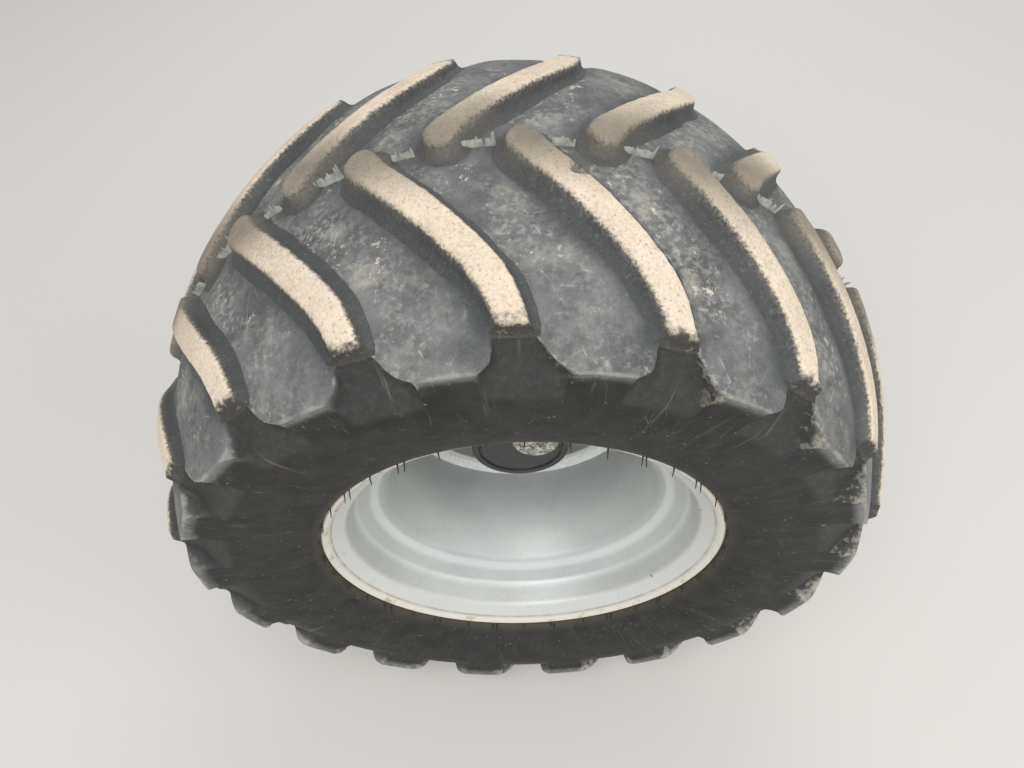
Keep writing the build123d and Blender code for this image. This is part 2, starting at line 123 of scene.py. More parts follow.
# Side wall, bead and liner as (across, radius)
WALL_RADII = (294.0, 285.0, 276.0, 267.0, 258.0, 249.0, 241.0, 234.0, 228.5)
WALL_ARC = ((198.0, 328.0), (197.5, 284.0), (186.0, 226.0))
BEAD_ROWS = (
    (185.6, 225.0), (184.9, 222.6), (183.3, 218.4), (181.6, 214.8), (180.0, 212.7),
    (178.4, 211.6), (176.9, 211.2), (175.7, 211.3),
)
LINER_ROWS = (
    (137.2, 186.4), (136.4, 190.0), (138.5, 205.0), (141.0, 213.0), (155.0, 224.0),
    (173.0, 239.0), (181.0, 262.0), (184.3, 284.0), (184.3, 300.0), (182.5, 314.0),
    (173.0, 324.0),
)
LINER_ACROSS = (140.0, 100.0, 60.0, 25.0)
LINER_CROWN = 360.0
LINER_EDGE = 173.0
LINER_DROP = 36.0
SEAT_FROM = 2.0
SEAT_TO = 38.0

# A lobe's wall in degrees, its soft edge, and its columns: place on it, share of the lobe
WALL_DEGREES = 0.62
LOBE_SOFT_DEGREES = 0.32
WALL_STEPS = ((0.55, 0.25), (0.22, 0.72), (0.0, 0.95))

# One lug's edges from above: across from the middle plane, along the tread
LUG_LOWER = ((14, -0.5), (25, 6.5), (40, 20), (85, 60.5), (130, 98.5), (155, 115), (177.5, 126))
LUG_UPPER = ((2, 26.5), (20, 38), (60, 73), (100, 107), (128, 129), (150, 141), (177.5, 150.5))
LUG_NOSE = ((14, -0.5), (6, -0.8), (0, 1.5), (-7, 7), (-9, 15), (-5, 22), (2, 26.5))
LUG_RUNGS = 60
NOSE_PARTS = 7
END_AT = LUG_RUNGS - 1
UPPER_AT = END_AT + NOSE_PARTS
NOSE_AT = UPPER_AT + LUG_RUNGS
LUG_DRAFT = 18.0
LUG_FILLET = 10.0
LUG_EDGE = ((-4.0, 0.0), (-2.6, 0.22), (-1.2, 0.9), (-0.2, 1.95), (0.9, 3.2))
LUG_FOOT = ((1.2, 0.8), (-3.0, 6.0))
TOP_SPARE = 0.3
LUG_TOP_SHARE = (1.0, 1.0, 0.88, 0.58, 0.26)
END_SNUG = 0.35

# How far a chip moves the three uppermost rings of a lug in and down
CHIP_CUT = ((2.2, 0.5), (1.8, 1.1), (0.9, 1.3))

# The one large chip: which outboard lug, where along its upper edge, reach and depth
CHIP_LUG = 3
CHIP_SHARE = 0.235
CHIP_REACH = 1.9
CHIP_SIZE = 2.9

# Painted shade on the floor beside a lug: reach of the dark band on both sides, and shift and reach
# of the wider band on the lee side
CREVICE_SHADE_REACH = 6.0
LEE_SHADE_SHIFT = 14.0
LEE_SHADE_REACH = 15.0

# Flash between the noses: from and to in degrees from the outboard nose, spike at its end
FLASH_RUNS = ((5.4, 8.4, 0.0), (-5.7, -1.3, 6.5))
FLASH_STEP = 0.11
FLASH_LIMIT = 14.3

# Flash's section: across, share of its height, lift over the floor
FLASH_SECTION = (
    (-1.9, 0.0, -1.0), (-0.6, 0.0, 1.0), (-0.3, 1.0, 0.0),
    (0.3, 1.0, 0.0), (0.6, 0.0, 1.0), (1.9, 0.0, -1.0),
)

# Whiskers of one pitch in degrees, and where they stand
WHISKERS = (0.5, -10.2, -8.4)
WHISKER_R = 212.0
WHISKER_ACROSS = 178.2

# Rim: radius, and distance in from the lip, of the wall on the dish side
RIM_LINE = (
    (207.9, 0.0, 0.0), (204.2, 3.5, 2.5), (187.4, 16.3, 11.0), (179.6, 41.9, 12.0),
    (160.8, 57.6, 16.0), (149.0, 66.0, 10.0),
)
RIM_HALF = 177.0
RIM_WALL = 5.5
RIM_COLUMNS = 288
BEAD_CLEAR = 0.4

# Hub cap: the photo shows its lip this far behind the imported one, and this radius
LIP_BACK = 2.0
LIP_R = 55.8
CAP_FLANGE = 6.0
CAP_FLANGE_R = 66.0
CAP_BORE_R = 50.2
CAP_FLOOR = 15.0

# The lip's step and groove: radius from LIP_R, depth from the lip, rounding
CAP_LINE = (
    (-10.2, 1.2, 0.6), (-9.9, 3.6, 0.5), (-6.9, 3.6, 0.5), (-6.6, 0.2, 0.5),
    (-3.6, 0.0, 0.3), (-3.3, 0.5, 0.2), (-3.0, 0.0, 0.3), (0.0, 0.0, 1.2),
)

# The plug: radius, depth from its top, rounding
PLUG_LINE = ((0, 2.2, 0), (9.0, 2.2, 0.4), (9.8, 0.3, 0.5), (24.0, 0.0, 2.0), (27.0, 3.0, 1.2))

# A weld bead's section: radius, height over the disc
WELD_R = 149.5
WELD_COLUMNS = 720
WELD_RIPPLES = 118
WELD_LINE = (
    (149.5, 9.5), (140.5, 9.5), (140.9, 7.6), (142.0, 5.6),
    (143.6, 3.8), (145.4, 2.2), (147.4, 0.9), (149.5, 0.2),
)

# Nuts and studs
NUT_BORE = 9.3
NUT_COLLAR = 17.0
NUT_COLLAR_HEIGHT = 4.0
NUT_SPIN = 0.35
STUD_R = 9.0
STUD_HEAD = 4.0
STUD_HEAD_R = 13.0
SHARP_DEGREES = 32

# The camera's place, and its turns in degrees about Z, X and Z, as fitted to the photo
CAMERA_PLACE = (0, -0.7603, 0.7537)
CAMERA_TURNS = ((0.775, "Z"), (37.778, "X"), (-2.442, "Z"))


# Sizes and colours that a user would change
class TyreSizes(bpy.types.PropertyGroup):
    """Sizes of the tyre's tread"""

    tread_radius: FloatProperty(
        name="Tread radius", description="Radius over the lugs at the middle",
        default=(RUBBER_NODE_HIGH.z - RUBBER_NODE_LOW.z) / 2, unit="LENGTH",
    )
    lug_depth: FloatProperty(
        name="Lug depth", description="Height of a lug over the tread floor at the middle",
        default=0.0155, unit="LENGTH",
    )
    whisker_length: FloatProperty(
        name="Whisker length", description="Length of the rubber hairs left by the mould's vents",
        default=0.0095, unit="LENGTH",
    )


class WheelSizes(bpy.types.PropertyGroup):
    """Sizes of the parts inside the rim"""

    stud_circle: FloatProperty(
        name="Stud circle", description="Diameter of the circle that the wheel studs stand on",
        default=0.205, unit="LENGTH",
    )
    nut_flats: FloatProperty(
        name="Nut flats", description="Width of a wheel nut across its flats",
        default=0.027, unit="LENGTH",
    )
    stud_count: IntProperty(name="Studs", description="How many wheel studs", default=6)


def colour_property(name, description, value):
    """A colour that the panel shows."""
    return FloatVectorProperty(
        name=name, description=description, default=value, size=3,
        subtype="COLOR", min=0.0, max=1.0,
    )


class FinishColours(bpy.types.PropertyGroup):
    """Colours of the finishes"""

    rubber: colour_property("Rubber", "Clean side wall rubber", (0.020, 0.0205, 0.0200))
    tread_floor: colour_property(
        "Tread floor", "Worn rubber between the lugs", (0.160, 0.163, 0.161),
    )
    sand: colour_property("Sand", "Dust on the tops of the lugs", (0.70, 0.595, 0.465))
    silver: colour_property("Silver paint", "Paint of the rim and disc", (0.47, 0.495, 0.48))
    casting: colour_property("Casting", "Paint of the axle's castings", (0.060, 0.064, 0.068))
    rust: colour_property("Rust", "Rust on bare edges", (0.20, 0.085, 0.035))


class StageSizes(bpy.types.PropertyGroup):
    """The floor, lights and camera"""

    floor_colour: colour_property("Floor", "Colour of the floor", (0.66, 0.64, 0.61))
    key_power: FloatProperty(
        name="Key light", description="Power of the large soft light", default=135.0, unit="POWER",
    )
    sky_level: FloatProperty(
        name="Sky", description="Strength of the even light from all around", default=0.44,
    )
    lens: FloatProperty(
        name="Lens", description="Focal length of the camera in millimetres", default=27.0703,
    )


# Mesh helpers
def wheel_point(radius, across, angle):
    """A place on the wheel in millimetres, angle in radians from the top towards +X."""
    place = radius * np.sin(angle), WHEEL_Y / MM + across, radius * np.cos(angle)
    return np.stack(np.broadcast_arrays(*place), axis=-1)


def turn_angles(columns):
    """The angles of the columns of a full turn."""
    return np.arange(columns) * (2 * math.pi / columns)


def noise_at(points, scale=1.0):
    """Smooth noise at each point."""
    return np.array([noise.noise(Vector(point) * scale) for point in points])


def grid_faces(rows, columns, wrap_rows, wrap_columns):
    """The four-sided faces of a grid of points."""
    last_row = rows if wrap_rows else rows - 1
    last_column = columns if wrap_columns else columns - 1
    r, c = np.meshgrid(np.arange(last_row), np.arange(last_column), indexing="ij")
    r, c = r.ravel(), c.ravel()
    r2, c2 = (r + 1) % rows, (c + 1) % columns
    corners = (r * columns + c, r * columns + c2, r2 * columns + c2, r2 * columns + c)
    return np.stack(corners, axis=1).tolist()


def make_piece(name, shape, material, replaced, values=None):
    """A piece that rides on the wheel, from points in millimetres and faces."""
    points, faces = shape
    mesh = bpy.data.meshes.new(name)
    mesh.from_pydata((np.asarray(points) * MM).tolist(), [], faces)
    for label, numbers in (values or {}).items():
        attribute = mesh.attributes.new(label, "FLOAT", "POINT")
        attribute.data.foreach_set("value", np.asarray(numbers, np.float32).ravel())
    work = bmesh.new()
    work.from_mesh(mesh)
    bmesh.ops.recalc_face_normals(work, faces=work.faces)
    work.to_mesh(mesh)
    work.free()
    mesh.shade_smooth()
    mesh.materials.append(material)
    piece = bpy.data.objects.new(name, mesh)
    bpy.context.scene.collection.objects.link(piece)
    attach(piece, "wheel")
    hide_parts(replaced)
    return piece


def join_pieces(parts):
    """One list of points and of faces from several."""
    points, faces, start = [], [], 0
    for part_points, part_faces in parts:
        points.append(np.asarray(part_points, float))
        faces += [[i + start for i in face] for face in part_faces]
        start += len(part_points)
    return np.concatenate(points), faces


def curve(first, middle, last, t):
    """A place on the curve from first to last that is pulled to the middle one."""
    return (1 - t) ** 2 * first + 2 * t * (1 - t) * middle + t * t * last


def rounded(line, steps=4):
    """A line of (x, y, radius) with its corners rounded."""
    out = [np.array(line[0][:2], float)]
    for before, corner, after in zip(line, line[1:], line[2:]):
        p, a, b = (np.array(q[:2], float) for q in (corner, before, after))
        ta, tb = (a - p) / np.linalg.norm(a - p), (b - p) / np.linalg.norm(b - p)
        half = math.acos(max(-1.0, min(1.0, float(ta @ tb)))) / 2
        reach = corner[2] / math.tan(half) if corner[2] else 0.0
        if reach < 1e-6:
            out.append(p)
            continue
        out += [curve(p + ta * reach, p, p + tb * reach, k / steps) for k in range(steps + 1)]
    out.append(np.array(line[-1][:2], float))
    return np.array(out)


def offset_line(line, reach):
    """An open line moved sideways by reach, to the left of its way."""
    way = np.diff(line, axis=0)
    way /= np.linalg.norm(way, axis=1)[:, None]
    side = np.stack([-way[:, 1], way[:, 0]], axis=1)
    before = np.vstack([side[:1], side])
    after = np.vstack([side, side[-1:]])
    middle = before + after
    middle /= np.linalg.norm(middle, axis=1)[:, None]
    return line + middle * (reach / (middle * after).sum(1))[:, None]


def turn(outline, columns, closed=True):
    """Points and faces of an outline of (radius, across) turned about the axle."""
    outline = np.asarray(outline, float)
    points = wheel_point(outline[:, :1], outline[:, 1:], turn_angles(columns))
    return points.reshape(-1, 3), grid_faces(len(outline), columns, closed, True)


def capped_turn(outline, columns):
    """A turned solid whose outline starts and ends on the axis."""
    outline = np.asarray(outline, float)
    points, faces = turn(outline[1:-1], columns, closed=False)
    first, last_row = len(points), len(points) - columns
    ends = wheel_point(0.0, outline[[0, -1], 1], 0.0)
    for c in range(columns):
        d = (c + 1) % columns
        faces.append([first, d, c])
        faces.append([first + 1, last_row + c, last_row + d])
    return np.vstack([points, ends]), faces


def smooth_step(low, high, value):
    """0 below low, 1 above high, and a smooth way between."""
    t = np.clip((np.asarray(value, float) - low) / (high - low), 0, 1)
    return t * t * (3 - 2 * t)


# Tyre shapes
def tread_mm():
    """The radius over the lugs in millimetres."""
    return bpy.context.scene.tyre_sizes.tread_radius / MM


def arc_drop(across, reach, drop):
    """How far an arc through the middle and (reach, drop) has fallen."""
    arc = (reach**2 + drop**2) / (2 * drop)
    return arc - np.sqrt(arc**2 - np.asarray(across, float) ** 2)


def top_radius(across):
    """Radius of the lugs' tops."""
    return tread_mm() - TOP_SPARE - arc_drop(across, LUG_END, LUG_DROP)


def floor_radius(across):
    """Radius of the tread floor."""
    sizes = bpy.context.scene.tyre_sizes
    crown = (sizes.tread_radius - sizes.lug_depth) / MM
    return crown - arc_drop(across, LOBE_ACROSS, FLOOR_DROP)


def wall_across(radius):
    """The side wall's distance from the middle plane, an arc through three points."""
    (a1, r1), (a2, r2), (a3, r3) = WALL_ARC
    rows = np.array([[a2 - a1, r2 - r1], [a3 - a1, r3 - r1]])
    sums = np.array([a2**2 - a1**2 + r2**2 - r1**2, a3**2 - a1**2 + r3**2 - r1**2]) / 2
    ca, cr = np.linalg.solve(rows, sums)
    return ca + math.sqrt((a1 - ca) ** 2 + (r1 - cr) ** 2 - (radius - cr) ** 2)


def spline_through(points, count):
    """Points spread evenly along a smooth line through the given ones."""
    p = np.array(points, float)
    p = np.vstack([2 * p[0] - p[1], p, 2 * p[-1] - p[-2]])
    t = np.linspace(0, 1, 24, endpoint=False)[:, None]
    fine = []
    for a, b, c, d in zip(p, p[1:], p[2:], p[3:]):
        fine.append(0.5 * (2 * b + (c - a) * t + (2 * a - 5 * b + 4 * c - d) * t**2
                           + (3 * b - a - 3 * c + d) * t**3))
    fine = np.vstack([*fine, p[-2][None]])
    along = np.concatenate([[0], np.cumsum(np.linalg.norm(np.diff(fine, axis=0), axis=1))])
    want = np.linspace(0, along[-1], count)
    return np.stack([np.interp(want, along, fine[:, i]) for i in (0, 1)], axis=1)


def lug_outline():
    """A lug's outline from above: lower edge, end, upper edge back, and nose."""
    lower = spline_through(LUG_LOWER, LUG_RUNGS)
    upper = spline_through(LUG_UPPER, LUG_RUNGS)
    nose = spline_through(LUG_NOSE, NOSE_PARTS + 1)
    end = np.linspace(lower[-1], upper[-1], NOSE_PARTS + 1)
    return np.vstack([lower, end[1:-1], upper[::-1], nose[::-1][1:-1]])


def loop_normals(loop):
    """Outward directions of a closed outline."""
    way = np.roll(loop, -1, axis=0) - np.roll(loop, 1, axis=0)
    out = np.stack([way[:, 1], -way[:, 0]], axis=1)
    return out / np.linalg.norm(out, axis=1)[:, None]


def tyre_half():
    """One half of the tyre's section, from the tread's middle round to the liner's middle."""
    rows = []
    for k in range(FLOOR_ROWS):
        a = k * FLOOR_STEP
        r = float(floor_radius(a))
        rows.append(Row(a, r, a, r, *FLOOR_SIDES, float(smooth_step(*WARP_ACROSS, a)), 1.0, 0.0))
    for a, r, arch_a, arch_r, left, right in SHOULDER:
        lobe_r = r or float(floor_radius(a))
        worn = float(smooth_step(*WORN_ACROSS, a) * smooth_step(*WORN_RADII, lobe_r))
        floor = float(smooth_step(*FLOOR_RADII, lobe_r))
        rows.append(Row(a, lobe_r, arch_a, arch_r or lobe_r, left, right, 1.0, floor, worn))
    for r in WALL_RADII:
        a = wall_across(r)
        rows.append(Row(a, r, a, r, *WALL_SIDES, float(smooth_step(*WARP_RADII, r)), 0.0, 0.0))
    seat = offset_line(rounded(RIM_LINE, 3), -(RIM_WALL + BEAD_CLEAR))
    seat = [(RIM_HALF - y, r) for r, y in seat if SEAT_FROM < y < SEAT_TO]
    plain = [*BEAD_ROWS, *seat, *LINER_ROWS]
    plain += [(a, LINER_CROWN - float(arc_drop(a, LINER_EDGE, LINER_DROP))) for a in LINER_ACROSS]
    plain.append((0.0, LINER_CROWN))
    rows += [Row(a, r, a, r, *WALL_SIDES, 0.0, 0.0, 0.0) for a, r in plain]
    return rows


def pitch_columns(left, right):
    """Angles of one pitch's columns from the arch's middle, and their share of the lobe."""
    arch_left, arch_right = left - WALL_DEGREES, right + WALL_DEGREES
    inside = left + LOBE_SOFT_DEGREES, right - LOBE_SOFT_DEGREES
    angles = [arch_left * k / 4 for k in range(5)]
    angles += [left - part * WALL_DEGREES for part, _ in WALL_STEPS]
    angles += np.linspace(*inside, LOBE_COLUMNS).tolist()
    angles += [right + part * WALL_DEGREES for part, _ in reversed(WALL_STEPS)]
    angles += [arch_right + (PITCH_DEGREES - arch_right) * k / 4 for k in range(4)]
    rise = [share for _, share in WALL_STEPS]
    shares = [0.0] * 5 + rise + [1.0] * LOBE_COLUMNS + rise[::-1] + [0.0] * 4
    return np.array(angles), np.array(shares)


def lug_distance(across, along):
    """Distance from places on the tread to the nearest lug, 0 inside one."""
    loop = lug_outline()
    best = np.full(len(across), 1e9)
    pitch = math.radians(PITCH_DEGREES) * tread_mm()
    shift = math.radians(FAR_SHIFT) * tread_mm()
    for way, start in ((-1, 0.0), (1, shift)):
        for k in range(-10, 3):
            copy = np.stack([loop[:, 0] * way, loop[:, 1] + start + k * pitch], axis=1)
            inside = np.zeros(len(across), bool)
            for (x1, y1), (x2, y2) in zip(copy, np.roll(copy, -1, axis=0)):
                dx, dy = x2 - x1, y2 - y1
                t = np.clip(((across - x1) * dx + (along - y1) * dy) / (dx * dx + dy * dy), 0, 1)
                best = np.minimum(best, np.hypot(across - x1 - t * dx, along - y1 - t * dy))
                if dy:
                    left_of = across < dx * (along - y1) / dy + x1
                    inside ^= ((y1 > along) != (y2 > along)) & left_of
            best[inside] = 0.0
    return best


def tyre_carcass():
    """The tyre's body with its floor, shoulder lobes, side walls, beads and liner."""
    half = tyre_half()
    order = [(row, -1) for row in half[:-1]] + [(half[-1], 0)]
    order += [(row, 1) for row in half[-2:0:-1]]
    columns = PITCHES * PITCH_COLUMNS
    index = np.arange(columns)
    first_arch = NOSE_ANGLE + PITCH_DEGREES
    even = first_arch + index * (PITCH_DEGREES / PITCH_COLUMNS)
    names = ("angle", "radius", "across", "tread_floor", "worn", "tan", "arch")
    lines = {name: [] for name in names}
    for row, way in order:
        place = index - (PITCH_COLUMNS // 2 if way > 0 else 0)
        local, share = (part[place % PITCH_COLUMNS] for part in pitch_columns(row.left, row.right))
        turn_on = FAR_SHIFT if way > 0 else 0.0
        placed = first_arch + turn_on + (place // PITCH_COLUMNS) * PITCH_DEGREES + local
        lines["angle"].append(np.radians(even + (placed - even) * row.warp))
        lines["radius"].append(row.arch_radius + (row.radius - row.arch_radius) * share)
        across = row.arch_across + (row.across - row.arch_across) * share
        lines["across"].append(across * (way or 1))
        has_arch = row.arch_radius != row.radius
        lines["arch"].append((1 - share) * has_arch)
        lines["tread_floor"].append(row.floor * (share if has_arch else np.ones(columns)))
        worn = row.worn * share
        if has_arch and row.radius > LOBE_TOP:
            on_edge = (share > 0.5) * (share < 1.0)
            worn = worn + EDGE_WEAR * smooth_step(*EDGE_WEAR_ACROSS, row.across) * on_edge
        lines["worn"].append(np.clip(worn, 0, 1))
        beside = local - row.left
        tan = np.exp(-np.where(beside < 0, -beside * TAN_LEFT, beside)) * (row.floor > 0)
        lines["tan"].append(tan * smooth_step(*TAN_ACROSS, row.across))
    lines = {name: np.array(rows) for name, rows in lines.items()}
    angle, radius, across = (lines.pop(name) for name in ("angle", "radius", "across"))
    along = (angle - math.radians(NOSE_ANGLE)) * tread_mm()
    on_floor = [k for k, (row, _) in enumerate(order) if row.floor > 0.0 and row.radius > LOBE_TOP]
    spots = [part[on_floor, :PITCH_COLUMNS].ravel() for part in (across, along)]
    # Painted shade: how near each floor point is to a lug, for the dark bands beside the lugs
    for name, shift, reach in (("crevice", 0.0, CREVICE_SHADE_REACH), ("lee", LEE_SHADE_SHIFT, LEE_SHADE_REACH)):
        near = np.exp(-lug_distance(spots[0], spots[1] + shift) / reach)
        lines[name] = np.zeros_like(radius)
        lines[name][on_floor] = np.tile(near.reshape(len(on_floor), -1), (1, PITCHES))
    uneven = noise_at(wheel_point(radius, across, angle).reshape(-1, 3), UNEVEN_SCALE)
    on_tread = lines["tread_floor"] > 0.2
    radius = radius + uneven.reshape(radius.shape) * UNEVEN_HEIGHT * on_tread
    points = wheel_point(radius, across, angle).reshape(-1, 3)
    faces = grid_faces(len(order), columns, True, True)
    make_piece("tyre_carcass", (points, faces), tyre_rubber(), "tyre", lines)


def lug_profile(depth):
    """(outward, down) of a lug's side for one depth, from its top edge to under the floor."""
    slope = math.tan(math.radians(LUG_DRAFT))
    base = depth * slope
    fillet = min(LUG_FILLET, depth * 0.62)
    start_out = base - fillet * math.sin(math.radians(LUG_DRAFT))
    start_down = depth - fillet * math.cos(math.radians(LUG_DRAFT))
    rows = list(LUG_EDGE)
    for t in (0.35, 0.7):
        d = LUG_EDGE[-1][1] + (start_down - LUG_EDGE[-1][1]) * t
        rows.append((d * slope, d))
    for t in (0.0, 0.25, 0.5, 0.75, 1.0):
        rows.append((curve(start_out, base, base + fillet, t), curve(start_down, depth, depth, t)))
    rows += [(base + fillet + out, depth + down) for out, down in LUG_FOOT]
    return np.array(rows)


def lug_mesh(way, start, rng, big_chip):
    """One lug: a ladder on top, rounded edges, drafted sides and a fillet into the floor."""
    loop = lug_outline()
    normals = loop_normals(loop)
    count = len(loop)
    index = np.arange(count)
    shift = np.array([rng.uniform(0, 90), rng.uniform(0, 90)])

    def rough(points, scale, third):
        return noise_at([(*(p * scale + shift), third) for p in points])

    wander = rough(loop, 0.12, 0.0) + 0.6 * rough(loop, 0.4, 5.0)
    loop = loop + normals * (wander * 0.7)[:, None]
    chip = np.zeros(count)
    for _ in range(rng.choice((0, 1, 1, 2))):
        where = rng.randrange(count)
        gap = np.abs((index - where + count / 2) % count - count / 2)
        chip += rng.uniform(0.4, 1.0) * np.exp(-(gap / rng.uniform(0.8, 1.6)) ** 2)
    if big_chip:
        where = UPPER_AT + (LUG_RUNGS - 1) * (1 - CHIP_SHARE)
        chip += CHIP_SIZE * np.exp(-(np.abs(index - where) / CHIP_REACH) ** 3)
    ends = np.clip(loop[:, 0], None, LUG_END)
    depth = top_radius(ends) - floor_radius(ends)
    profiles = np.array([lug_profile(d) for d in depth])
    at_end = (index >= END_AT) & (index <= UPPER_AT)
    rings, down_share = [], []
    for k in range(profiles.shape[1]):
        out, down = profiles[:, k, 0], profiles[:, k, 1]
        out = np.where(at_end & (out < 0), out * END_SNUG, out)
        if k < len(CHIP_CUT):
            out = out - chip * CHIP_CUT[k][0]
            down = down + chip * CHIP_CUT[k][1]
        flat = loop + normals * out[:, None]
        past = flat[:, 0] > LUG_END
        flat[past, 0] = LUG_END + (flat[past, 0] - LUG_END) * 0.25
        share = np.clip(down / depth, 0, 1)
        a = np.minimum(flat[:, 0], LUG_END + 2.0)
        radius = (1 - share) * (top_radius(np.minimum(a, LUG_END)) - down)
        radius += share * (floor_radius(a) + depth - down)
        rings.append((radius, flat))
        down_share.append(share)
    top_flat = rings[0][1]
    lower, upper = top_flat[:LUG_RUNGS], top_flat[UPPER_AT:NOSE_AT][::-1]
    nose = top_flat[NOSE_AT:][::-1]
    across_share = (np.arange(1, NOSE_PARTS) / NOSE_PARTS)[:, None]
    bulge = nose - (lower[0] + (upper[0] - lower[0]) * across_share)
    inner = np.concatenate([
        lower[k] + (upper[k] - lower[k]) * across_share + bulge * math.exp(-k / 2.2)
        for k in range(1, LUG_RUNGS - 1)
    ])
    inner_radius = top_radius(inner[:, 0]) + 0.35 * rough(inner, 0.09, 2.0)
    points = [
        wheel_point(radius, flat[:, 0] * way, math.radians(start) + flat[:, 1] / tread_mm())
        for radius, flat in (*rings, (inner_radius, inner))
    ]
    faces = grid_faces(len(rings), count, False, True)
    base = len(rings) * count

    def corner(rung, part):
        if part == 0:
            return rung
        if part == NOSE_PARTS:
            return NOSE_AT - 1 - rung
        if rung == 0:
            return count - part
        if rung == END_AT:
            return END_AT + part
        return base + (rung - 1) * (NOSE_PARTS - 1) + part - 1

    for rung in range(LUG_RUNGS - 1):
        for part in range(NOSE_PARTS):
            ahead = corner(rung + 1, part), corner(rung + 1, part + 1)
            faces.append([corner(rung, part), *ahead, corner(rung, part + 1)])
    faces.append(list(range(base - count, base))[::-1])
    shares = LUG_TOP_SHARE + (0.0,) * (len(rings) - len(LUG_TOP_SHARE))
    tops = [
        np.clip(share - 0.32 * chip * (0 < k < 5) + 0.3 * at_end * (1 < k < 5), 0, 1)
        for k, share in enumerate(shares)
    ]
    top = np.concatenate([*tops, np.ones(len(inner))])
    low = np.concatenate([*down_share, np.zeros(len(inner))])
    return np.concatenate(points), faces, top, low


def tyre_lugs():
    """Both rows of lugs as one piece."""
    rng = random.Random(SEED)
    lugs = []
    for way, start in ((-1, NOSE_ANGLE), (1, NOSE_ANGLE + FAR_SHIFT)):
        for k in range(PITCHES):
            chipped = way < 0 and k == CHIP_LUG
            lugs.append(lug_mesh(way, start + k * PITCH_DEGREES, rng, chipped))
    points, faces, tops, lows = zip(*lugs)
    shape = join_pieces(zip(points, faces))
    values = {"lug_top": np.concatenate(tops), "down": np.concatenate(lows)}
    make_piece("tyre_lugs", shape, lug_rubber(), "tyre", values)


def flash_strip(first, last, spike, rng):
    """One torn strip of flash on the middle of the tread floor."""
    angles = np.radians(np.arange(first, last, FLASH_STEP))
    steps = len(angles)
    at = np.linspace(0, 1, steps)
    seed = rng.uniform(0, 90)
    body = rng.uniform(5.6, 8.0)

    def rough(stretch, third):
        return noise_at([(seed, i * stretch, third) for i in range(steps)])

    height = body + 1.3 * (rough(0.4, 1.0) + 0.5 * rough(1.3, 4.0))
    for _ in range(rng.randint(2, 4)):
        height -= (body - 1.6) * np.exp(-((at - rng.uniform(0.1, 0.9)) / 0.018) ** 2)
    for _ in range(rng.randint(1, 2)):
        height += rng.uniform(2.0, 5.0) * np.exp(-((at - rng.uniform(0.08, 0.92)) / 0.03) ** 2)
    height += spike * np.exp(-((at - 0.955) / 0.04) ** 2)
    height = np.clip(height, 0.8, FLASH_LIMIT)
    height[[0, -1]] *= 0.7
    wander = 0.8 * rough(0.3, 9.0)
    lean = rng.uniform(-0.12, 0.12)
    rows = []
    for half, share, lift in FLASH_SECTION:
        rise = height * share + lift
        rows.append(wheel_point(floor_radius(0.0) + rise, wander + half + lean * rise, angles))
    ends = [[k * steps for k in range(6)], [k * steps + steps - 1 for k in range(5, -1, -1)]]
    return np.concatenate(rows), grid_faces(6, steps, True, False) + ends


def whisker(way, angle, length, bend):
    """One rubber hair that stands out from the bead beside the rim's lip."""
    rows = []
    sides = turn_angles(6)
    for t in (0.0, 0.25, 0.5, 0.75, 1.0):
        thick = 0.9 * (1 - 0.5 * t)
        r = WHISKER_R - length * 0.3 * t + thick * np.cos(sides)
        spin = angle + (bend * t * t * 2.0 + thick * np.sin(sides)) / WHISKER_R
        rows.append(wheel_point(r, way * (WHISKER_ACROSS + length * 0.95 * t), spin))
    ends = [[5, 4, 3, 2, 1, 0], [24, 25, 26, 27, 28, 29]]
    return np.concatenate(rows), grid_faces(5, 6, False, True) + ends


def mould_remains():
    """Torn flash along the middle of the tread and vent whiskers around the beads."""
    rng = random.Random(SEED + 1)
    strips, hairs = [], []
    length = bpy.context.scene.tyre_sizes.whisker_length / MM
    for k in range(PITCHES):
        nose = NOSE_ANGLE + k * PITCH_DEGREES
        for first, last, spike in FLASH_RUNS:
            strips.append(flash_strip(nose + first, nose + last, spike, rng))
        for way in (-1, 1):
            for angle in WHISKERS:
                angle = math.radians(angle + k * PITCH_DEGREES + rng.uniform(-0.7, 0.7))
                own_length = length * rng.uniform(0.8, 1.2)
                hairs.append(whisker(way, angle, own_length, rng.uniform(-0.8, 0.8)))
    make_piece("mould_flash", join_pieces(strips), flash_rubber(), "tyre")
    make_piece("vent_whiskers", join_pieces(hairs), plain_rubber(), "tyre")


# Wheel shapes
def from_middle(point):
    """A packed point's distance from the wheel's middle plane in millimetres."""
    return (point.y - WHEEL_Y) / MM


def turned_rim():
    """The rolled rim with rounded bends and lips."""
    near = rounded(RIM_LINE, 5) - (0, RIM_HALF)
    dish = np.vstack([near, near[::-1] * (1, -1)])
    back = offset_line(dish, -RIM_WALL)
    lip = []
    for a, b in ((dish[-1], back[-1]), (back[0], dish[0])):
        middle, arm = (a + b) / 2, (b - a) / 2
        out = np.array([-arm[1], arm[0]])
        if out[1] * middle[1] < 0:
            out = -out
        lip.append([middle - arm * math.cos(t) + out * math.sin(t) * 0.35
                    for t in np.linspace(0, math.pi, 7)[1:-1]])
    outline = np.vstack([dish, lip[0], back[::-1], lip[1]])
    make_piece("turned_rim", turn(outline, RIM_COLUMNS), rim_paint(), "rim")


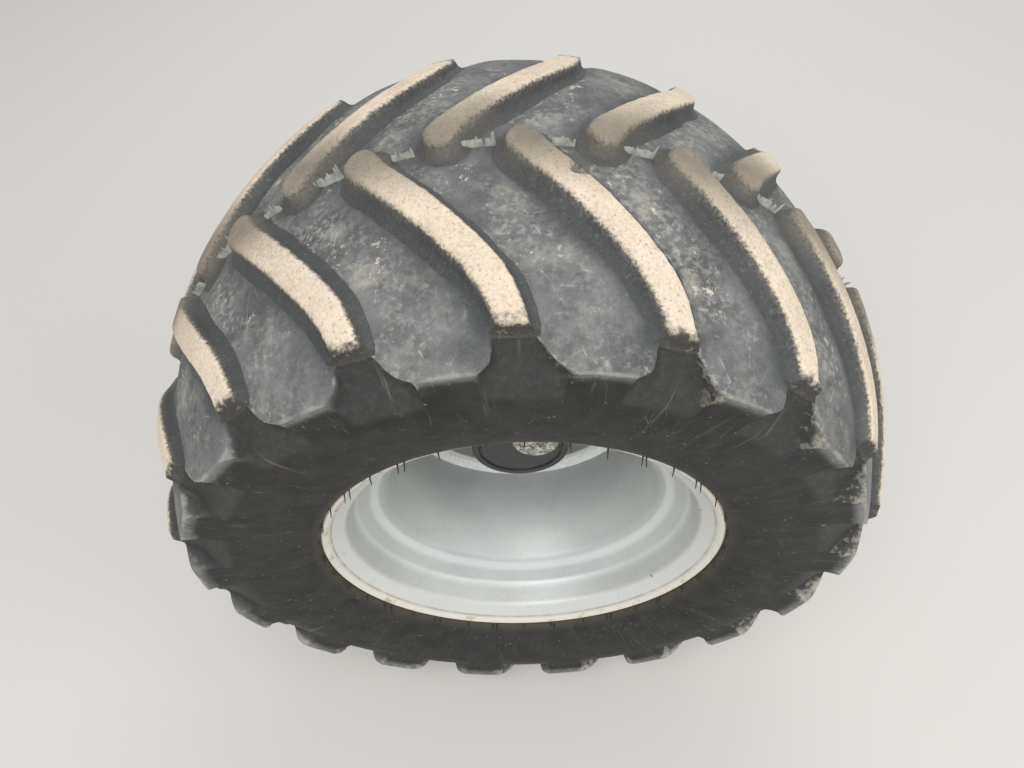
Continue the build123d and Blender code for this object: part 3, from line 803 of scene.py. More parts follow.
def weld_beads():
    """The two weld beads between disc and rim, with their ripples."""
    near, far = (from_middle(point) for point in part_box("disc_welds"))
    angles = turn_angles(WELD_COLUMNS)
    ripple = 0.5 + 0.5 * np.cos(angles * WELD_RIPPLES + 2.2 * np.sin(angles * 7))
    last = len(WELD_LINE) - 1
    parts = []
    for edge, way, seed in ((near, 1, 1.0), (far, -1, 2.0)):
        broad, fine = (
            noise_at([(math.cos(a) * scale, math.sin(a) * scale, seed) for a in angles])
            for scale in (9, 40)
        )
        rows = []
        for k, (r, rise) in enumerate(WELD_LINE):
            proud = math.sin(math.pi * k / last)
            push = (0.9 * ripple + 0.9 * fine) * proud * (1 if k else 0)
            swell = 1.0 + 0.14 * broad if 0 < k < last else 1.0
            rows.append(wheel_point(WELD_R - (WELD_R - r) * swell - push * 0.6 + 0.8 * proud,
                                    edge + way * (rise + 0.8 * proud - push * 0.7 - 0.2), angles))
        parts.append((np.concatenate(rows), grid_faces(last + 1, WELD_COLUMNS, True, True)))
    make_piece("weld_beads", join_pieces(parts), weld_paint(), "disc_welds")


def ring_points(rows, columns):
    """Points of rings of (radius, outboard) about the axle's line."""
    angles = turn_angles(columns)
    return np.concatenate([
        np.stack([r * np.sin(angles), np.full(columns, -out), r * np.cos(angles)], axis=1)
        for r, out in rows
    ])


def hex_nut(flats, height, bore, collar, collar_height, columns=48):
    """One nut about the axle's line from 0 outboard: collar, six flats, chamfer and bore."""
    to_flat = (turn_angles(columns) + math.pi / 6) % (math.pi / 3) - math.pi / 6
    hexagon = flats / 2 / np.cos(to_flat)
    corner = flats / math.sqrt(3)
    rows = [
        (bore, 0.0),
        (collar - 0.8, 0.0),
        (collar, 0.8),
        (collar, collar_height - 0.8),
        (collar - 0.9, collar_height),
        (np.minimum(hexagon + 0.5, collar - 0.9), collar_height + 0.3),
        (hexagon, collar_height + 0.9),
    ]
    for k in range(4):
        rise = 1.6 * k / 3
        rows.append((np.minimum(hexagon, corner - rise * 1.25), height - 1.6 + rise))
    rows += [(bore + 1.4, height), (bore, height - 1.4)]
    return ring_points(rows, columns), grid_faces(len(rows), columns, True, True)


def threaded_rod(radius, length, pitch, chamfer, columns=24):
    """A stud's end with ring threads and a chamfered tip, outboard from 0."""
    rows, y = [(radius * 0.9, 0.0)], 0.0
    while y < length - chamfer - pitch:
        for r, share in ((radius, 0.35), (radius, 0.5), (radius * 0.9, 0.9)):
            rows.append((r, y + pitch * share))
        y += pitch
    rows.append((radius, length - chamfer - 0.2))
    rows += [(radius - chamfer, length), (radius * 0.3, length - 0.05)]
    last = (len(rows) - 1) * columns
    ends = [list(range(columns))[::-1], list(range(last, last + columns))]
    return ring_points(rows, columns), grid_faces(len(rows), columns, False, True) + ends


def ring_of(part, count, radius, foot, spin=0.0):
    """Copies of a part on a circle about the axle, each turned on its own line too."""
    points, faces = part
    parts = []
    for k in range(count):
        turn_part = np.array(Matrix.Rotation(spin * (k * 1.7 + 0.3), 3, "Y"))
        turn_ring = np.array(Matrix.Rotation(k * 2 * math.pi / count, 3, "Y"))
        moved = points @ turn_part.T + (0, 0, radius)
        parts.append((moved @ turn_ring.T + (0, foot, 0), faces))
    return join_pieces(parts)


def wheel_fastenings():
    """Wheel nuts and the studs that they hold the disc with."""
    sizes = bpy.context.scene.wheel_sizes
    circle = sizes.stud_circle / MM / 2
    low, high = (point.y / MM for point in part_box("wheel_nuts"))
    nut = hex_nut(sizes.nut_flats / MM, high - low, NUT_BORE, NUT_COLLAR, NUT_COLLAR_HEIGHT)
    nuts = ring_of(nut, sizes.stud_count, circle, high, NUT_SPIN)
    low, high = (point.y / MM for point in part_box("wheel_studs"))
    stud = threaded_rod(STUD_R, high - low - STUD_HEAD, 1.5, 1.6)
    head = hex_nut(STUD_HEAD_R * 2 * math.cos(math.pi / 6), STUD_HEAD, 8.9, STUD_HEAD_R, 2.6, 24)
    cap = threaded_rod(8.95, STUD_HEAD, 9.0, 0.4)
    raised = [(points + (0, STUD_HEAD, 0), faces) for points, faces in (head, cap)]
    whole = join_pieces([stud, *raised])
    studs = ring_of(whole, sizes.stud_count, circle, high - STUD_HEAD)
    for name, shape in (("wheel_nuts", nuts), ("wheel_studs", studs)):
        piece = make_piece(name + "_cut", shape, zinc_plate(), name)
        piece.data.set_sharp_from_angle(angle=math.radians(SHARP_DEGREES))


def hub_cap():
    """The black cup over the hub, with a grooved lip, and its worn silver plug."""
    lip, foot = (from_middle(point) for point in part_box("hub_cap"))
    lip += LIP_BACK
    outline = [(0, lip + CAP_LINE[0][1], 0)]
    outline += [(LIP_R + r, lip + down, bend) for r, down, bend in CAP_LINE]
    outline += [
        (LIP_R, foot - CAP_FLANGE, 2.4), (CAP_FLANGE_R, foot - CAP_FLANGE, 1.2),
        (CAP_FLANGE_R, foot, 0.3), (CAP_BORE_R, foot, 0.3),
        (CAP_BORE_R, lip + CAP_FLOOR, 1.5), (0, lip + CAP_FLOOR, 0),
    ]
    cup = capped_turn(rounded(outline, 4), 128)
    make_piece("hub_cap_cup", cup, black_paint(), "hub_cap")
    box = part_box("hub_plug")
    middle = (box[0] + box[1]) / 2
    top, base = (from_middle(point) for point in box)
    outline = [(r, top + down, bend) for r, down, bend in PLUG_LINE]
    outline += [(PLUG_LINE[-1][0], base, 0), (0, base, 0)]
    points, faces = capped_turn(rounded(outline, 3), 72)
    points = points + (middle.x / MM, 0, middle.z / MM)
    make_piece("hub_cap_plug", (points, faces), worn_silver(), "hub_plug")


# Node helpers
class Graph:
    """A node tree, and the nodes that the finishes are made of."""

    def __init__(self, tree):
        self.tree = tree

    def put(self, socket, value):
        """Links a socket to another one, or sets it."""
        if isinstance(value, bpy.types.NodeSocket):
            self.tree.links.new(value, socket)
        else:
            socket.default_value = value

    def node(self, kind, inputs=None, **settings):
        """A node with its settings and inputs."""
        made = self.tree.nodes.new(kind)
        for key, value in settings.items():
            setattr(made, key, value)
        for key, value in (inputs or {}).items():
            self.put(made.inputs[key], value)
        return made

    def calc(self, operation, first, second=0.0):
        """The result of one math node."""
        return self.node("ShaderNodeMath", {0: first, 1: second}, operation=operation).outputs[0]

    def times(self, first, second):
        """One value times another."""
        return self.calc("MULTIPLY", first, second)

    def plus(self, first, second):
        """One value and another."""
        return self.calc("ADD", first, second)

    def minus(self, first, second):
        """One value less another."""
        return self.calc("SUBTRACT", first, second)

    def total(self, first, *others):
        """The sum of (value, share) pairs."""
        whole = self.times(*first)
        for pair in others:
            whole = self.plus(whole, self.times(*pair))
        return whole

    def vector(self, operation, first, second):
        """The result of one vector math node."""
        inputs = {0: first, 1: second}
        return self.node("ShaderNodeVectorMath", inputs, operation=operation).outputs[0]

    def blend(self, share, first, second):
        """A mix of two colours."""
        first, second = ((*c, 1.0) if isinstance(c, tuple) else c for c in (first, second))
        inputs = {0: share, 6: first, 7: second}
        return self.node("ShaderNodeMix", inputs, data_type="RGBA").outputs[2]

    def layers(self, colour, rows):
        """A colour with others over it, each a (mask, share, colour)."""
        for mask, share, over in rows:
            colour = self.blend(self.times(mask, share), colour, over)
        return colour

    def spread(self, value, low, high, to_low=0.0, to_high=1.0):
        """A value mapped from one range to another and kept inside it."""
        inputs = {
            "Value": value, "From Min": low, "From Max": high, "To Min": to_low, "To Max": to_high,
        }
        return self.node("ShaderNodeMapRange", inputs, interpolation_type="SMOOTHSTEP").outputs[0]

    def between(self, mask, low, high):
        """A mask's 0 to 1 mapped to another range."""
        return self.spread(mask, 0.0, 1.0, low, high)


class Group(Graph):
    """A shared node group in the making."""

    def __init__(self, name, inputs):
        super().__init__(bpy.data.node_groups.new(name, "ShaderNodeTree"))
        for label, value in inputs.items():
            kind = "NodeSocketVector" if isinstance(value, tuple) else "NodeSocketFloat"
            socket = self.tree.interface.new_socket(label, in_out="INPUT", socket_type=kind)
            socket.default_value = value
        self.into = self.node("NodeGroupInput").outputs

    def give(self, outputs):
        """The finished group, which puts these values out."""
        for label, value in outputs.items():
            kind = "NodeSocketVector" if value.type == "VECTOR" else "NodeSocketFloat"
            self.tree.interface.new_socket(label, in_out="OUTPUT", socket_type=kind)
        self.node("NodeGroupOutput", outputs)
        return self.tree


def once(make):
    """The group or material of a function, made at its first use only."""
    kept = {}

    def get():
        if "made" not in kept:
            kept["made"] = make()
        return kept["made"]

    return get


@once
def wheel_place():
    """Radius and distance across of a point on the wheel, and the point itself."""
    g = Group("wheel place", {})
    point = g.node("ShaderNodeTexCoord").outputs["Object"]
    x, y, z = g.node("ShaderNodeSeparateXYZ", {0: point}).outputs
    radius = g.calc("SQRT", g.plus(g.calc("POWER", x, 2.0), g.calc("POWER", z, 2.0)))
    across = g.minus(y, WHEEL_Y)
    rolled_out = {0: g.calc("ARCTAN2", x, z), 1: across, 2: radius}
    around = g.node("ShaderNodeCombineXYZ", rolled_out).outputs[0]
    return g.give({"Radius": radius, "Across": across, "Point": point, "Around": around})


@once
def mottle():
    """Soft patches of a given size."""
    g = Group("mottle", {
        "Point": (0, 0, 0), "Size": 0.05, "Low": 0.4, "High": 0.6, "Detail": 5.0, "Shift": 0.0,
    })
    cloud = g.node("ShaderNodeTexNoise", {
        "Vector": g.vector("ADD", g.into["Point"], g.into["Shift"]),
        "Scale": g.calc("DIVIDE", 1.0, g.into["Size"]),
        "Detail": g.into["Detail"],
        "Roughness": 0.62,
    }).outputs[0]
    return g.give({"Mask": g.spread(cloud, g.into["Low"], g.into["High"])})


@once
def specks():
    """Small spots of uneven shape in some of the cells."""
    g = Group("specks", {"Point": (0, 0, 0), "Size": 0.004, "Amount": 0.3, "Reach": 0.4})
    point, size = g.into["Point"], g.into["Size"]
    scale = g.calc("DIVIDE", 1.0, size)
    bent = g.node("ShaderNodeTexNoise", {"Vector": point, "Scale": scale, "Detail": 2.0}).outputs
    bend = {0: bent["Color"], "Scale": g.times(size, 0.9)}
    bent = g.node("ShaderNodeVectorMath", bend, operation="SCALE").outputs[0]
    moved = g.vector("ADD", point, bent)
    cells = g.node("ShaderNodeTexVoronoi", {"Vector": moved, "Scale": scale}).outputs
    chance, size_share, _ = g.node("ShaderNodeSeparateColor", {0: cells["Color"]}).outputs
    shown = g.calc("LESS_THAN", chance, g.into["Amount"])
    reach = g.times(g.into["Reach"], g.plus(size_share, 0.35))
    near = g.spread(cells["Distance"], g.times(reach, 0.6), reach, 1.0, 0.0)
    return g.give({"Mask": g.times(shown, near)})


@once
def scratches():
    """Thin lines along one way of a stretched point."""
    g = Group("scratches", {
        "Point": (0, 0, 0), "Stretch": (1, 1, 1), "Turn": (0, 0, 0), "Width": 0.02, "Amount": 0.5,
    })
    turned = g.node("ShaderNodeVectorRotate", {
        "Vector": g.into["Point"], "Rotation": g.into["Turn"],
    }, rotation_type="EULER_XYZ").outputs[0]
    pulled = g.vector("MULTIPLY", turned, g.into["Stretch"])
    edges = g.node("ShaderNodeTexVoronoi", {"Vector": pulled, "Scale": 1.0},
                   feature="DISTANCE_TO_EDGE").outputs["Distance"]
    line = g.spread(edges, 0.0, g.into["Width"], 1.0, 0.0)
    cloud = g.node("ShaderNodeTexNoise", {"Vector": pulled, "Scale": 0.9, "Detail": 3.0}).outputs[0]
    low = g.minus(1.0, g.into["Amount"])
    return g.give({"Mask": g.times(line, g.spread(cloud, low, g.plus(low, 0.12)))})


def new_material(name):
    """A material with its shader and output, and nothing else."""
    made = bpy.data.materials.new(name)
    made.use_nodes = True
    tree = made.node_tree
    tree.nodes.clear()
    shader = tree.nodes.new("ShaderNodeBsdfPrincipled")
    out = tree.nodes.new("ShaderNodeOutputMaterial")
    tree.links.new(shader.outputs[0], out.inputs[0])
    return made, shader.inputs


class Finish(Graph):
    """A material in the making, with its place on the wheel."""

    def __init__(self, name):
        self.made, self.shader = new_material(name)
        super().__init__(self.made.node_tree)
        self.where = self.group(wheel_place)
        self.point = self.where["Point"]

    def group(self, make, inputs=None):
        """The outputs of a shared node group."""
        return self.node("ShaderNodeGroup", inputs, node_tree=make()).outputs

    def patches(self, size, low, high, detail=5.0, shift=0.0, point=None):
        """A mask of soft patches."""
        return self.group(mottle, {
            "Point": self.point if point is None else point,
            "Size": size, "Low": low, "High": high, "Detail": detail, "Shift": shift,
        })["Mask"]

    def spots(self, size, amount, reach):
        """A mask of small spots."""
        inputs = {"Point": self.point, "Size": size, "Amount": amount, "Reach": reach}
        return self.group(specks, inputs)["Mask"]

    def lines(self, point, *kinds):
        """A mask of thin lines, each kind a (stretch, turn, width, amount)."""
        whole = None
        for stretch, turned, width, amount in kinds:
            inputs = {"Point": point, "Stretch": stretch, "Turn": turned}
            inputs.update({"Width": width, "Amount": amount})
            mask = self.group(scratches, inputs)["Mask"]
            whole = mask if whole is None else self.calc("MAXIMUM", whole, mask)
        return whole

    def attribute(self, name):
        """A number stored in the mesh."""
        return self.node("ShaderNodeAttribute", attribute_name=name).outputs["Fac"]

    def done(self, colour, rough, height=None, strength=0.0, distance=0.0, **others):
        """The finished material."""
        self.put(self.shader["Base Color"], colour)
        self.put(self.shader["Roughness"], rough)
        for key, value in others.items():
            self.put(self.shader[key], value)
        if height is not None:
            relief = {"Height": height, "Strength": strength, "Distance": distance}
            self.put(self.shader["Normal"], self.node("ShaderNodeBump", relief).outputs[0])
        return self.made


def colours():
    """The finish colours as plain tuples."""
    finish = bpy.context.scene.finish_colours
    return {name: tuple(getattr(finish, name)) for name in finish.__annotations__}


def shades(name, *shares):
    """A finish colour made lighter or darker by each share."""
    return [tuple(min(1.0, c * share) for c in colours()[name]) for share in shares]


# Rubber
@once
def tyre_rubber():
    """Side wall, tread floor and shoulder of the tyre."""
    f = Finish("tyre rubber")
    around, radius = f.where["Around"], f.where["Radius"]
    big = f.patches(0.11, 0.35, 0.68)
    small = f.patches(0.022, 0.35, 0.7, 8.0, 3.0)
    marks = f.lines(around, ((14.0, 90.0, 16.0), (0.5, 0.0, 0.9), 0.015, 0.48),
                    ((30.0, 60.0, 9.0), (0.1, 0.4, -0.5), 0.014, 0.47))
    wall = f.layers(f.blend(big, *shades("rubber", 0.72, 1.55)), (
        (small, 0.34, (0.066, 0.061, 0.054)),
        (marks, 0.4, (0.34, 0.33, 0.31)),
        (f.spots(0.004, 0.10, 0.28), 0.4, (0.30, 0.28, 0.24)),
    ))
    patch = f.patches(0.04, 0.34, 0.68, 12.0, 7.0)
    # Painted shade beside the lugs; the lee band also thins the dust there
    lee = f.attribute("lee")
    shoulder = f.spread(f.calc("ABSOLUTE", f.where["Across"]), 0.125, 0.175)
    zone = f.times(f.patches(0.05, 0.34, 0.60, 4.0, 29.0), f.minus(1.0, lee))
    zone = f.times(zone, f.minus(1.0, f.times(shoulder, 0.6)))
    fine = f.patches(0.006, 0.44, 0.62, 10.0, 21.0)
    scuffs = f.lines(f.point, ((42.0, 34.0, 60.0), (0.4, 0.7, 0.2), 0.030, 0.52),
                     ((20.0, 75.0, 30.0), (-0.6, 0.2, 0.8), 0.022, 0.50))
    mud = f.calc("MAXIMUM", f.spots(0.0024, 0.34, 0.36), f.patches(0.009, 0.57, 0.61, 8.0, 37.0))
    mud = f.times(mud, f.patches(0.036, 0.52, 0.62, 8.0, 17.0))
    mud = f.times(mud, f.minus(1.0, f.times(lee, 0.6)))
    mud = f.times(mud, f.minus(1.0, f.times(shoulder, 0.75)))
    floor = f.layers(f.blend(patch, *shades("tread_floor", 0.58, 1.25)), (
        (f.patches(0.0022, 0.35, 0.68, 4.0, 51.0), 0.3, (0.25, 0.25, 0.235)),
        (f.times(fine, zone), 0.84, (0.38, 0.37, 0.34)),
        (f.times(f.patches(0.035, 0.50, 0.68, 10.0, 11.0), zone), 0.6, (0.46, 0.42, 0.35)),
        (f.times(scuffs, fine), 0.6, (0.55, 0.54, 0.50)),
        (mud, 0.85, (0.76, 0.69, 0.58)),
        # Painted shade: blue-grey on the lee side of each lug and dark along the foot of every lug
        (lee, f.between(patch, 0.92, 0.66), (0.070, 0.076, 0.081)),
        (f.attribute("crevice"), 0.5, (0.055, 0.055, 0.054)),
    ))
    in_tread = f.attribute("tread_floor")
    arch = f.layers((0.043, 0.0445, 0.042), ((fine, 0.10, (0.17, 0.155, 0.13)),))
    worn = f.plus(f.attribute("worn"), f.times(f.minus(small, 0.6), 0.8))
    near_lobe = f.attribute("tan")
    tan = f.times(f.spread(f.plus(near_lobe, f.minus(fine, 0.6)), 0.3, 0.9), near_lobe)
    streak = f.patches(0.045, 0.62, 0.74, 6.0, point=f.vector("MULTIPLY", around, (1.6, 0.5, 0.22)))
    streak = f.times(f.times(streak, f.spread(radius, 0.236, 0.318)), 0.5)
    colour = f.layers(f.blend(in_tread, wall, floor), (
        (f.attribute("arch"), f.between(small, 0.85, 1.0), arch),
        (f.spread(worn, 0.35, 1.1), 0.7, (0.37, 0.355, 0.32)),
        (tan, 0.5, (0.50, 0.45, 0.36)),
        (streak, f.minus(1.0, in_tread), (0.34, 0.28, 0.21)),
        (f.spread(radius, 0.224, 0.2095), 0.65, (0.085, 0.072, 0.054)),
    ))
    height = f.total((f.patches(0.0022, 0.2, 0.8), 0.25), (small, 1.0), (mud, 1.2), (marks, -0.5))
    return f.done(colour, f.between(big, 0.52, 0.68), height, 0.75, 0.0006,
                  **{"Specular IOR Level": 0.25})


@once
def lug_rubber():
    """Sandy tops and dark sides of the lugs."""
    f = Finish("lug rubber")
    small = f.patches(0.006, 0.3, 0.7, 8.0)
    broad = f.patches(0.06, 0.3, 0.72, 7.0, 5.0)
    pale = f.patches(0.0028, 0.36, 0.64, 6.0, 23.0)
    dark = f.patches(0.0036, 0.56, 0.70, 6.0, 31.0)
    pits = f.spots(0.0024, 0.22, 0.32)
    grit = f.spots(0.0017, 0.25, 0.40)
    across = f.calc("ABSOLUTE", f.where["Across"])
    down = f.attribute("down")
    nose = f.blend(dark, (0.225, 0.19, 0.15), (0.14, 0.12, 0.095))
    top = f.layers(f.blend(broad, *shades("sand", 0.86, 1.12)), (
        (f.spread(across, 0.10, 0.17), 0.3, (0.76, 0.66, 0.52)),
        (f.patches(0.028, 0.48, 0.72, 8.0, 41.0), 0.45, (0.66, 0.47, 0.34)),
        (pale, 0.42, *shades("sand", 1.34)),
        (dark, 0.55, (0.40, 0.315, 0.235)),
        (pits, 0.5, (0.26, 0.20, 0.15)),
        (grit, 0.5, (0.92, 0.87, 0.79)),
        (f.spread(across, 0.085, 0.010), f.between(broad, 0.98, 0.84), nose),
    ))
    side = f.layers(f.blend(broad, (0.048, 0.050, 0.050), (0.088, 0.090, 0.088)), (
        (f.spread(across, 0.055, 0.02), 0.8, (0.138, 0.126, 0.102)),
        (dark, 0.35, (0.30, 0.28, 0.24)),
        # Painted shade: the sides turn an even blue-grey towards their foot
        (f.spread(down, 0.45, 1.0), 0.7, (0.062, 0.065, 0.066)),
        (f.times(pale, f.spread(down, 0.6, 0.05)), 0.7, (0.33, 0.29, 0.235)),
    ))
    end_face = f.layers((0.048, 0.045, 0.040), ((dark, 0.5, (0.28, 0.24, 0.19)),))
    side = f.blend(f.spread(across, 0.1735, 0.1765), side, end_face)
    ragged = f.minus(f.total((small, 0.3), (pale, 0.3)), 0.3)
    on_top = f.spread(f.plus(f.attribute("lug_top"), ragged), 0.12, 0.98)
    torn = f.plus(across, f.times(f.minus(small, 0.5), 0.009))
    on_top = f.times(on_top, f.spread(torn, 0.1685, 0.1785, 1.0, 0.0))
    height = f.total((small, 1.0), (grit, 0.7), (pits, -0.8))
    return f.done(f.blend(on_top, side, top), f.between(on_top, 0.62, 0.9), height, 0.8, 0.0007)


@once
def flash_rubber():
    """Thin torn flash, paler than the tyre."""
    f = Finish("flash rubber")
    patch = f.patches(0.008, 0.35, 0.65)
    return f.done(f.blend(patch, (0.235, 0.245, 0.215), (0.37, 0.38, 0.335)), 0.8)


@once
def plain_rubber():
    """Clean black rubber of whiskers and the valve."""
    f = Finish("plain rubber")
    patch = f.patches(0.012, 0.35, 0.7)
    colour = f.blend(patch, (0.014, 0.014, 0.014), (0.05, 0.048, 0.045))
    return f.done(colour, 0.6, patch, 0.3, 0.0003)


# Paint and metal
def silver(name, dirt_share):
    """The silver paint that the rim, the disc and the welds share."""
    f = Finish(name)
    cloud = f.patches(0.09, 0.3, 0.7)
    fine = f.patches(0.004, 0.25, 0.75, 6.0)
    colour = f.layers(f.blend(cloud, *shades("silver", 0.93, 1.06)), (
        (fine, 0.12, (0.80, 0.81, 0.79)),
        (f.patches(0.035, 0.5, 0.78, 9.0, 9.0), dirt_share, (0.46, 0.42, 0.35)),
    ))
    return f, colour, cloud, fine


@once
def rim_paint():
    """Silver paint with painted highlights as pale bands on the bends, and dirt, scuffs and rust at
    the lip.
    """
    f, colour, cloud, fine = silver("rim paint", 0.22)
    side = f.calc("ABSOLUTE", f.where["Across"])
    radius = f.where["Radius"]
    wobble = f.patches(0.02, 0.25, 0.75, shift=2.0)

    def band(low, full, fade, gone):
        return f.times(f.spread(radius, low, full), f.spread(radius, fade, gone, 1.0, 0.0))

    seam = band(0.2000, 0.2008, 0.2018, 0.2026)
    lip = f.spread(radius, 0.2036, 0.2044)
    line = f.times(lip, f.spread(wobble, 0.68, 0.95, 0.0, 0.7))
    scuff = f.lines(f.where["Around"], ((12.0, 120.0, 60.0), (0.0, 0.25, 0.12), 0.03, 0.40))
    rusty = f.times(f.spots(0.011, 0.05, 0.24), f.spread(side, 0.125, 0.17))
    colour = f.layers(colour, (
        # Painted highlights: pale bands on the knee, the seat's bend and the flange
        (band(0.1555, 0.160, 0.163, 0.169), 0.42, (0.86, 0.88, 0.87)),
        (band(0.1765, 0.1792, 0.1800, 0.1825), 0.4, (0.76, 0.77, 0.76)),
        (f.spread(radius, 0.1855, 0.1895), 0.5, (0.79, 0.80, 0.79)),
        (f.spread(side, 0.118, 0.17), f.between(wobble, 0.02, 0.17), (0.64, 0.54, 0.44)),
        (seam, f.spread(wobble, 0.1, 0.8, 0.35, 0.85), (0.42, 0.36, 0.28)),
        (lip, 0.75, (0.80, 0.74, 0.63)),
        (line, 1.0, (0.42, 0.30, 0.18)),
        (scuff, 0.5, (0.20, 0.19, 0.18)),
        (rusty, 0.8, colours()["rust"]),
    ))
    rough = f.spread(f.plus(f.times(cloud, 0.5), line), 0.0, 1.3, 0.46, 0.70)
    return f.done(colour, rough, f.total((fine, 0.5), (rusty, 1.0)), 0.35, 0.0003, Metallic=0.26)


@once
def disc_paint():
    """The same paint, dirtier, on the disc, with painted shade and dirt in the recessed dish and a
    painted highlight on its raised rim.
    """
    f, colour, cloud, fine = silver("disc paint", 0.5)
    # Painted highlight on the raised rim; painted shade with dirt inside it
    bright = f.blend(0.6, colour, (0.86, 0.87, 0.85))
    colour = f.blend(f.spread(f.where["Radius"], 0.1345, 0.1372), (0.23, 0.225, 0.205), bright)
    return f.done(colour, f.between(cloud, 0.4, 0.55), fine, 0.4, 0.0004, Metallic=0.25)


@once
def weld_paint():
    """Painted weld metal, coarse, lightened to near white as a painted highlight."""
    f, colour, _, fine = silver("weld paint", 0.35)
    coarse = f.patches(0.007, 0.3, 0.7, 8.0, 6.0)
    # Painted highlight: the bead is lightened to near white
    colour = f.blend(f.plus(f.times(coarse, 0.2), 0.78), colour, (0.95, 0.96, 0.94))
    height = f.total((coarse, 1.0), (fine, 0.5))
    return f.done(colour, f.between(coarse, 0.35, 0.6), height, 0.9, 0.0009)


@once
def black_paint():
    """Satin black of the hub cap, greyed by dust."""
    f = Finish("black paint")
    cloud = f.patches(0.03, 0.3, 0.75)
    colour = f.blend(cloud, (0.034, 0.035, 0.035), (0.062, 0.062, 0.059))
    colour = f.layers(colour, ((f.spots(0.003, 0.14, 0.3), 0.5, (0.30, 0.28, 0.25)),))
    grain = f.patches(0.0016, 0.3, 0.7)
    return f.done(colour, f.between(cloud, 0.42, 0.58), grain, 0.25, 0.0002)


@once
def worn_silver():
    """The plug's silver paint, worn through to dark metal and rust."""
    f = Finish("worn silver")
    cloud = f.patches(0.012, 0.42, 0.58, 9.0)
    pits = f.patches(0.0042, 0.52, 0.6, 7.0, 4.0)
    colour = f.layers(f.blend(cloud, (0.74, 0.73, 0.68), (0.40, 0.38, 0.33)), (
        (pits, 1.0, (0.085, 0.075, 0.062)),
        (f.patches(0.016, 0.56, 0.68, 6.0, 8.0), 0.5, colours()["rust"]),
    ))
    return f.done(colour, f.between(cloud, 0.34, 0.62), f.minus(cloud, pits), 0.6, 0.0005,
                  Metallic=f.between(pits, 0.7, 0.1))


def steel(name, clean, dull, metallic, smooth, rough, size=0.012, rust_share=0.2):
    """A metal with dulled patches and some rust."""
    f = Finish(name)
    patch = f.patches(size, 0.35, 0.68, 8.0)
    rust = f.patches(size * 0.8, 0.6, 0.72, 8.0, 6.0)
    colour = f.layers(f.blend(patch, clean, dull), ((rust, rust_share, colours()["rust"]),))
    return f.done(colour, f.between(patch, smooth, rough), patch, 0.3, 0.0002, Metallic=metallic)


@once
def zinc_plate():
    """Dulled zinc on nuts and studs."""
    return steel("zinc plate", (0.56, 0.54, 0.48), (0.34, 0.32, 0.28), 0.85, 0.36, 0.55)


@once
def dark_steel():
    """Blackened bolts."""
    return steel("dark steel", (0.12, 0.115, 0.11), (0.20, 0.17, 0.14), 0.6, 0.45, 0.65,
                 rust_share=0.5)


@once
def machined_steel():
    """Oiled shaft and spindle."""
    return steel("machined steel", (0.50, 0.48, 0.45), (0.36, 0.34, 0.31), 0.95, 0.26, 0.42, 0.03)


@once
def cast_iron():
    """Dark paint over a casting's rough skin, with dust and chips."""
    f = Finish("cast iron")
    skin = f.patches(0.004, 0.3, 0.7, 8.0)
    dust = f.patches(0.06, 0.4, 0.75, 9.0, 5.0)
    colour = f.layers(f.blend(skin, *shades("casting", 0.85, 1.3)), (
        (dust, 0.5, (0.30, 0.25, 0.19)),
        (f.spots(0.012, 0.12, 0.3), 0.7, colours()["rust"]),
    ))
    return f.done(colour, f.between(dust, 0.5, 0.8), skin, 0.7, 0.0007)


def dress_node(name, material):
    """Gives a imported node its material."""
    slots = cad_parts[name].material_slots
    if not slots:
        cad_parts[name].data.materials.append(material)
    for entry in slots:
        entry.material = material


# Stage
def build_stage():
    """Floor, lights, world and camera."""
    stage = bpy.context.scene.stage_sizes
    ground = RUBBER_NODE_LOW.z
    half = 9.0
    mesh = bpy.data.meshes.new("floor")
    corners = [(x * half, y * half, ground) for x, y in ((-1, -1), (1, -1), (1, 1), (-1, 1))]
    mesh.from_pydata(corners, [], [(0, 1, 2, 3)])
    floor = bpy.data.objects.new("floor", mesh)
    bpy.context.scene.collection.objects.link(floor)
    made, shader = new_material("floor")
    shader["Base Color"].default_value = (*stage.floor_colour, 1.0)
    shader["Roughness"].default_value = 0.9
    mesh.materials.append(made)
    lamps = (
        ("key", (-0.8, -2.7, 3.4), 3.4, stage.key_power),
        ("fill", (2.6, -1.6, 1.8), 2.2, stage.key_power * 0.25),
        ("back", (0.6, 2.6, 2.4), 2.4, stage.key_power * 0.3),
    )
    target = Vector((0, WHEEL_Y, 0))
    for name, spot, size, power in lamps:
        lamp = bpy.data.lights.new(name, "AREA")
        lamp.shape = "SQUARE"
        lamp.size = size
        lamp.energy = power
        holder = bpy.data.objects.new(name, lamp)
        holder.location = spot
        holder.rotation_euler = (target - Vector(spot)).to_track_quat("-Z", "Y").to_euler()
        bpy.context.scene.collection.objects.link(holder)
    world = bpy.data.worlds.new("sky")
    world.use_nodes = True
    back = world.node_tree.nodes["Background"]
    back.inputs["Color"].default_value = (0.97, 0.985, 1.0, 1.0)
    back.inputs["Strength"].default_value = stage.sky_level
    bpy.context.scene.world = world
    camera = bpy.data.cameras.new("camera")
    camera.sensor_fit = "HORIZONTAL"
    camera.sensor_width = 36.0
    camera.lens = stage.lens
    camera.clip_start = 0.02
    holder = bpy.data.objects.new("camera", camera)
    place = Matrix.Translation(CAMERA_PLACE)
    for degrees, axis in CAMERA_TURNS:
        place = place @ Matrix.Rotation(math.radians(degrees), 4, axis)
    holder.matrix_world = place
    bpy.context.scene.collection.objects.link(holder)
    bpy.context.scene.camera = holder
    bpy.context.scene.view_settings.view_transform = "Standard"


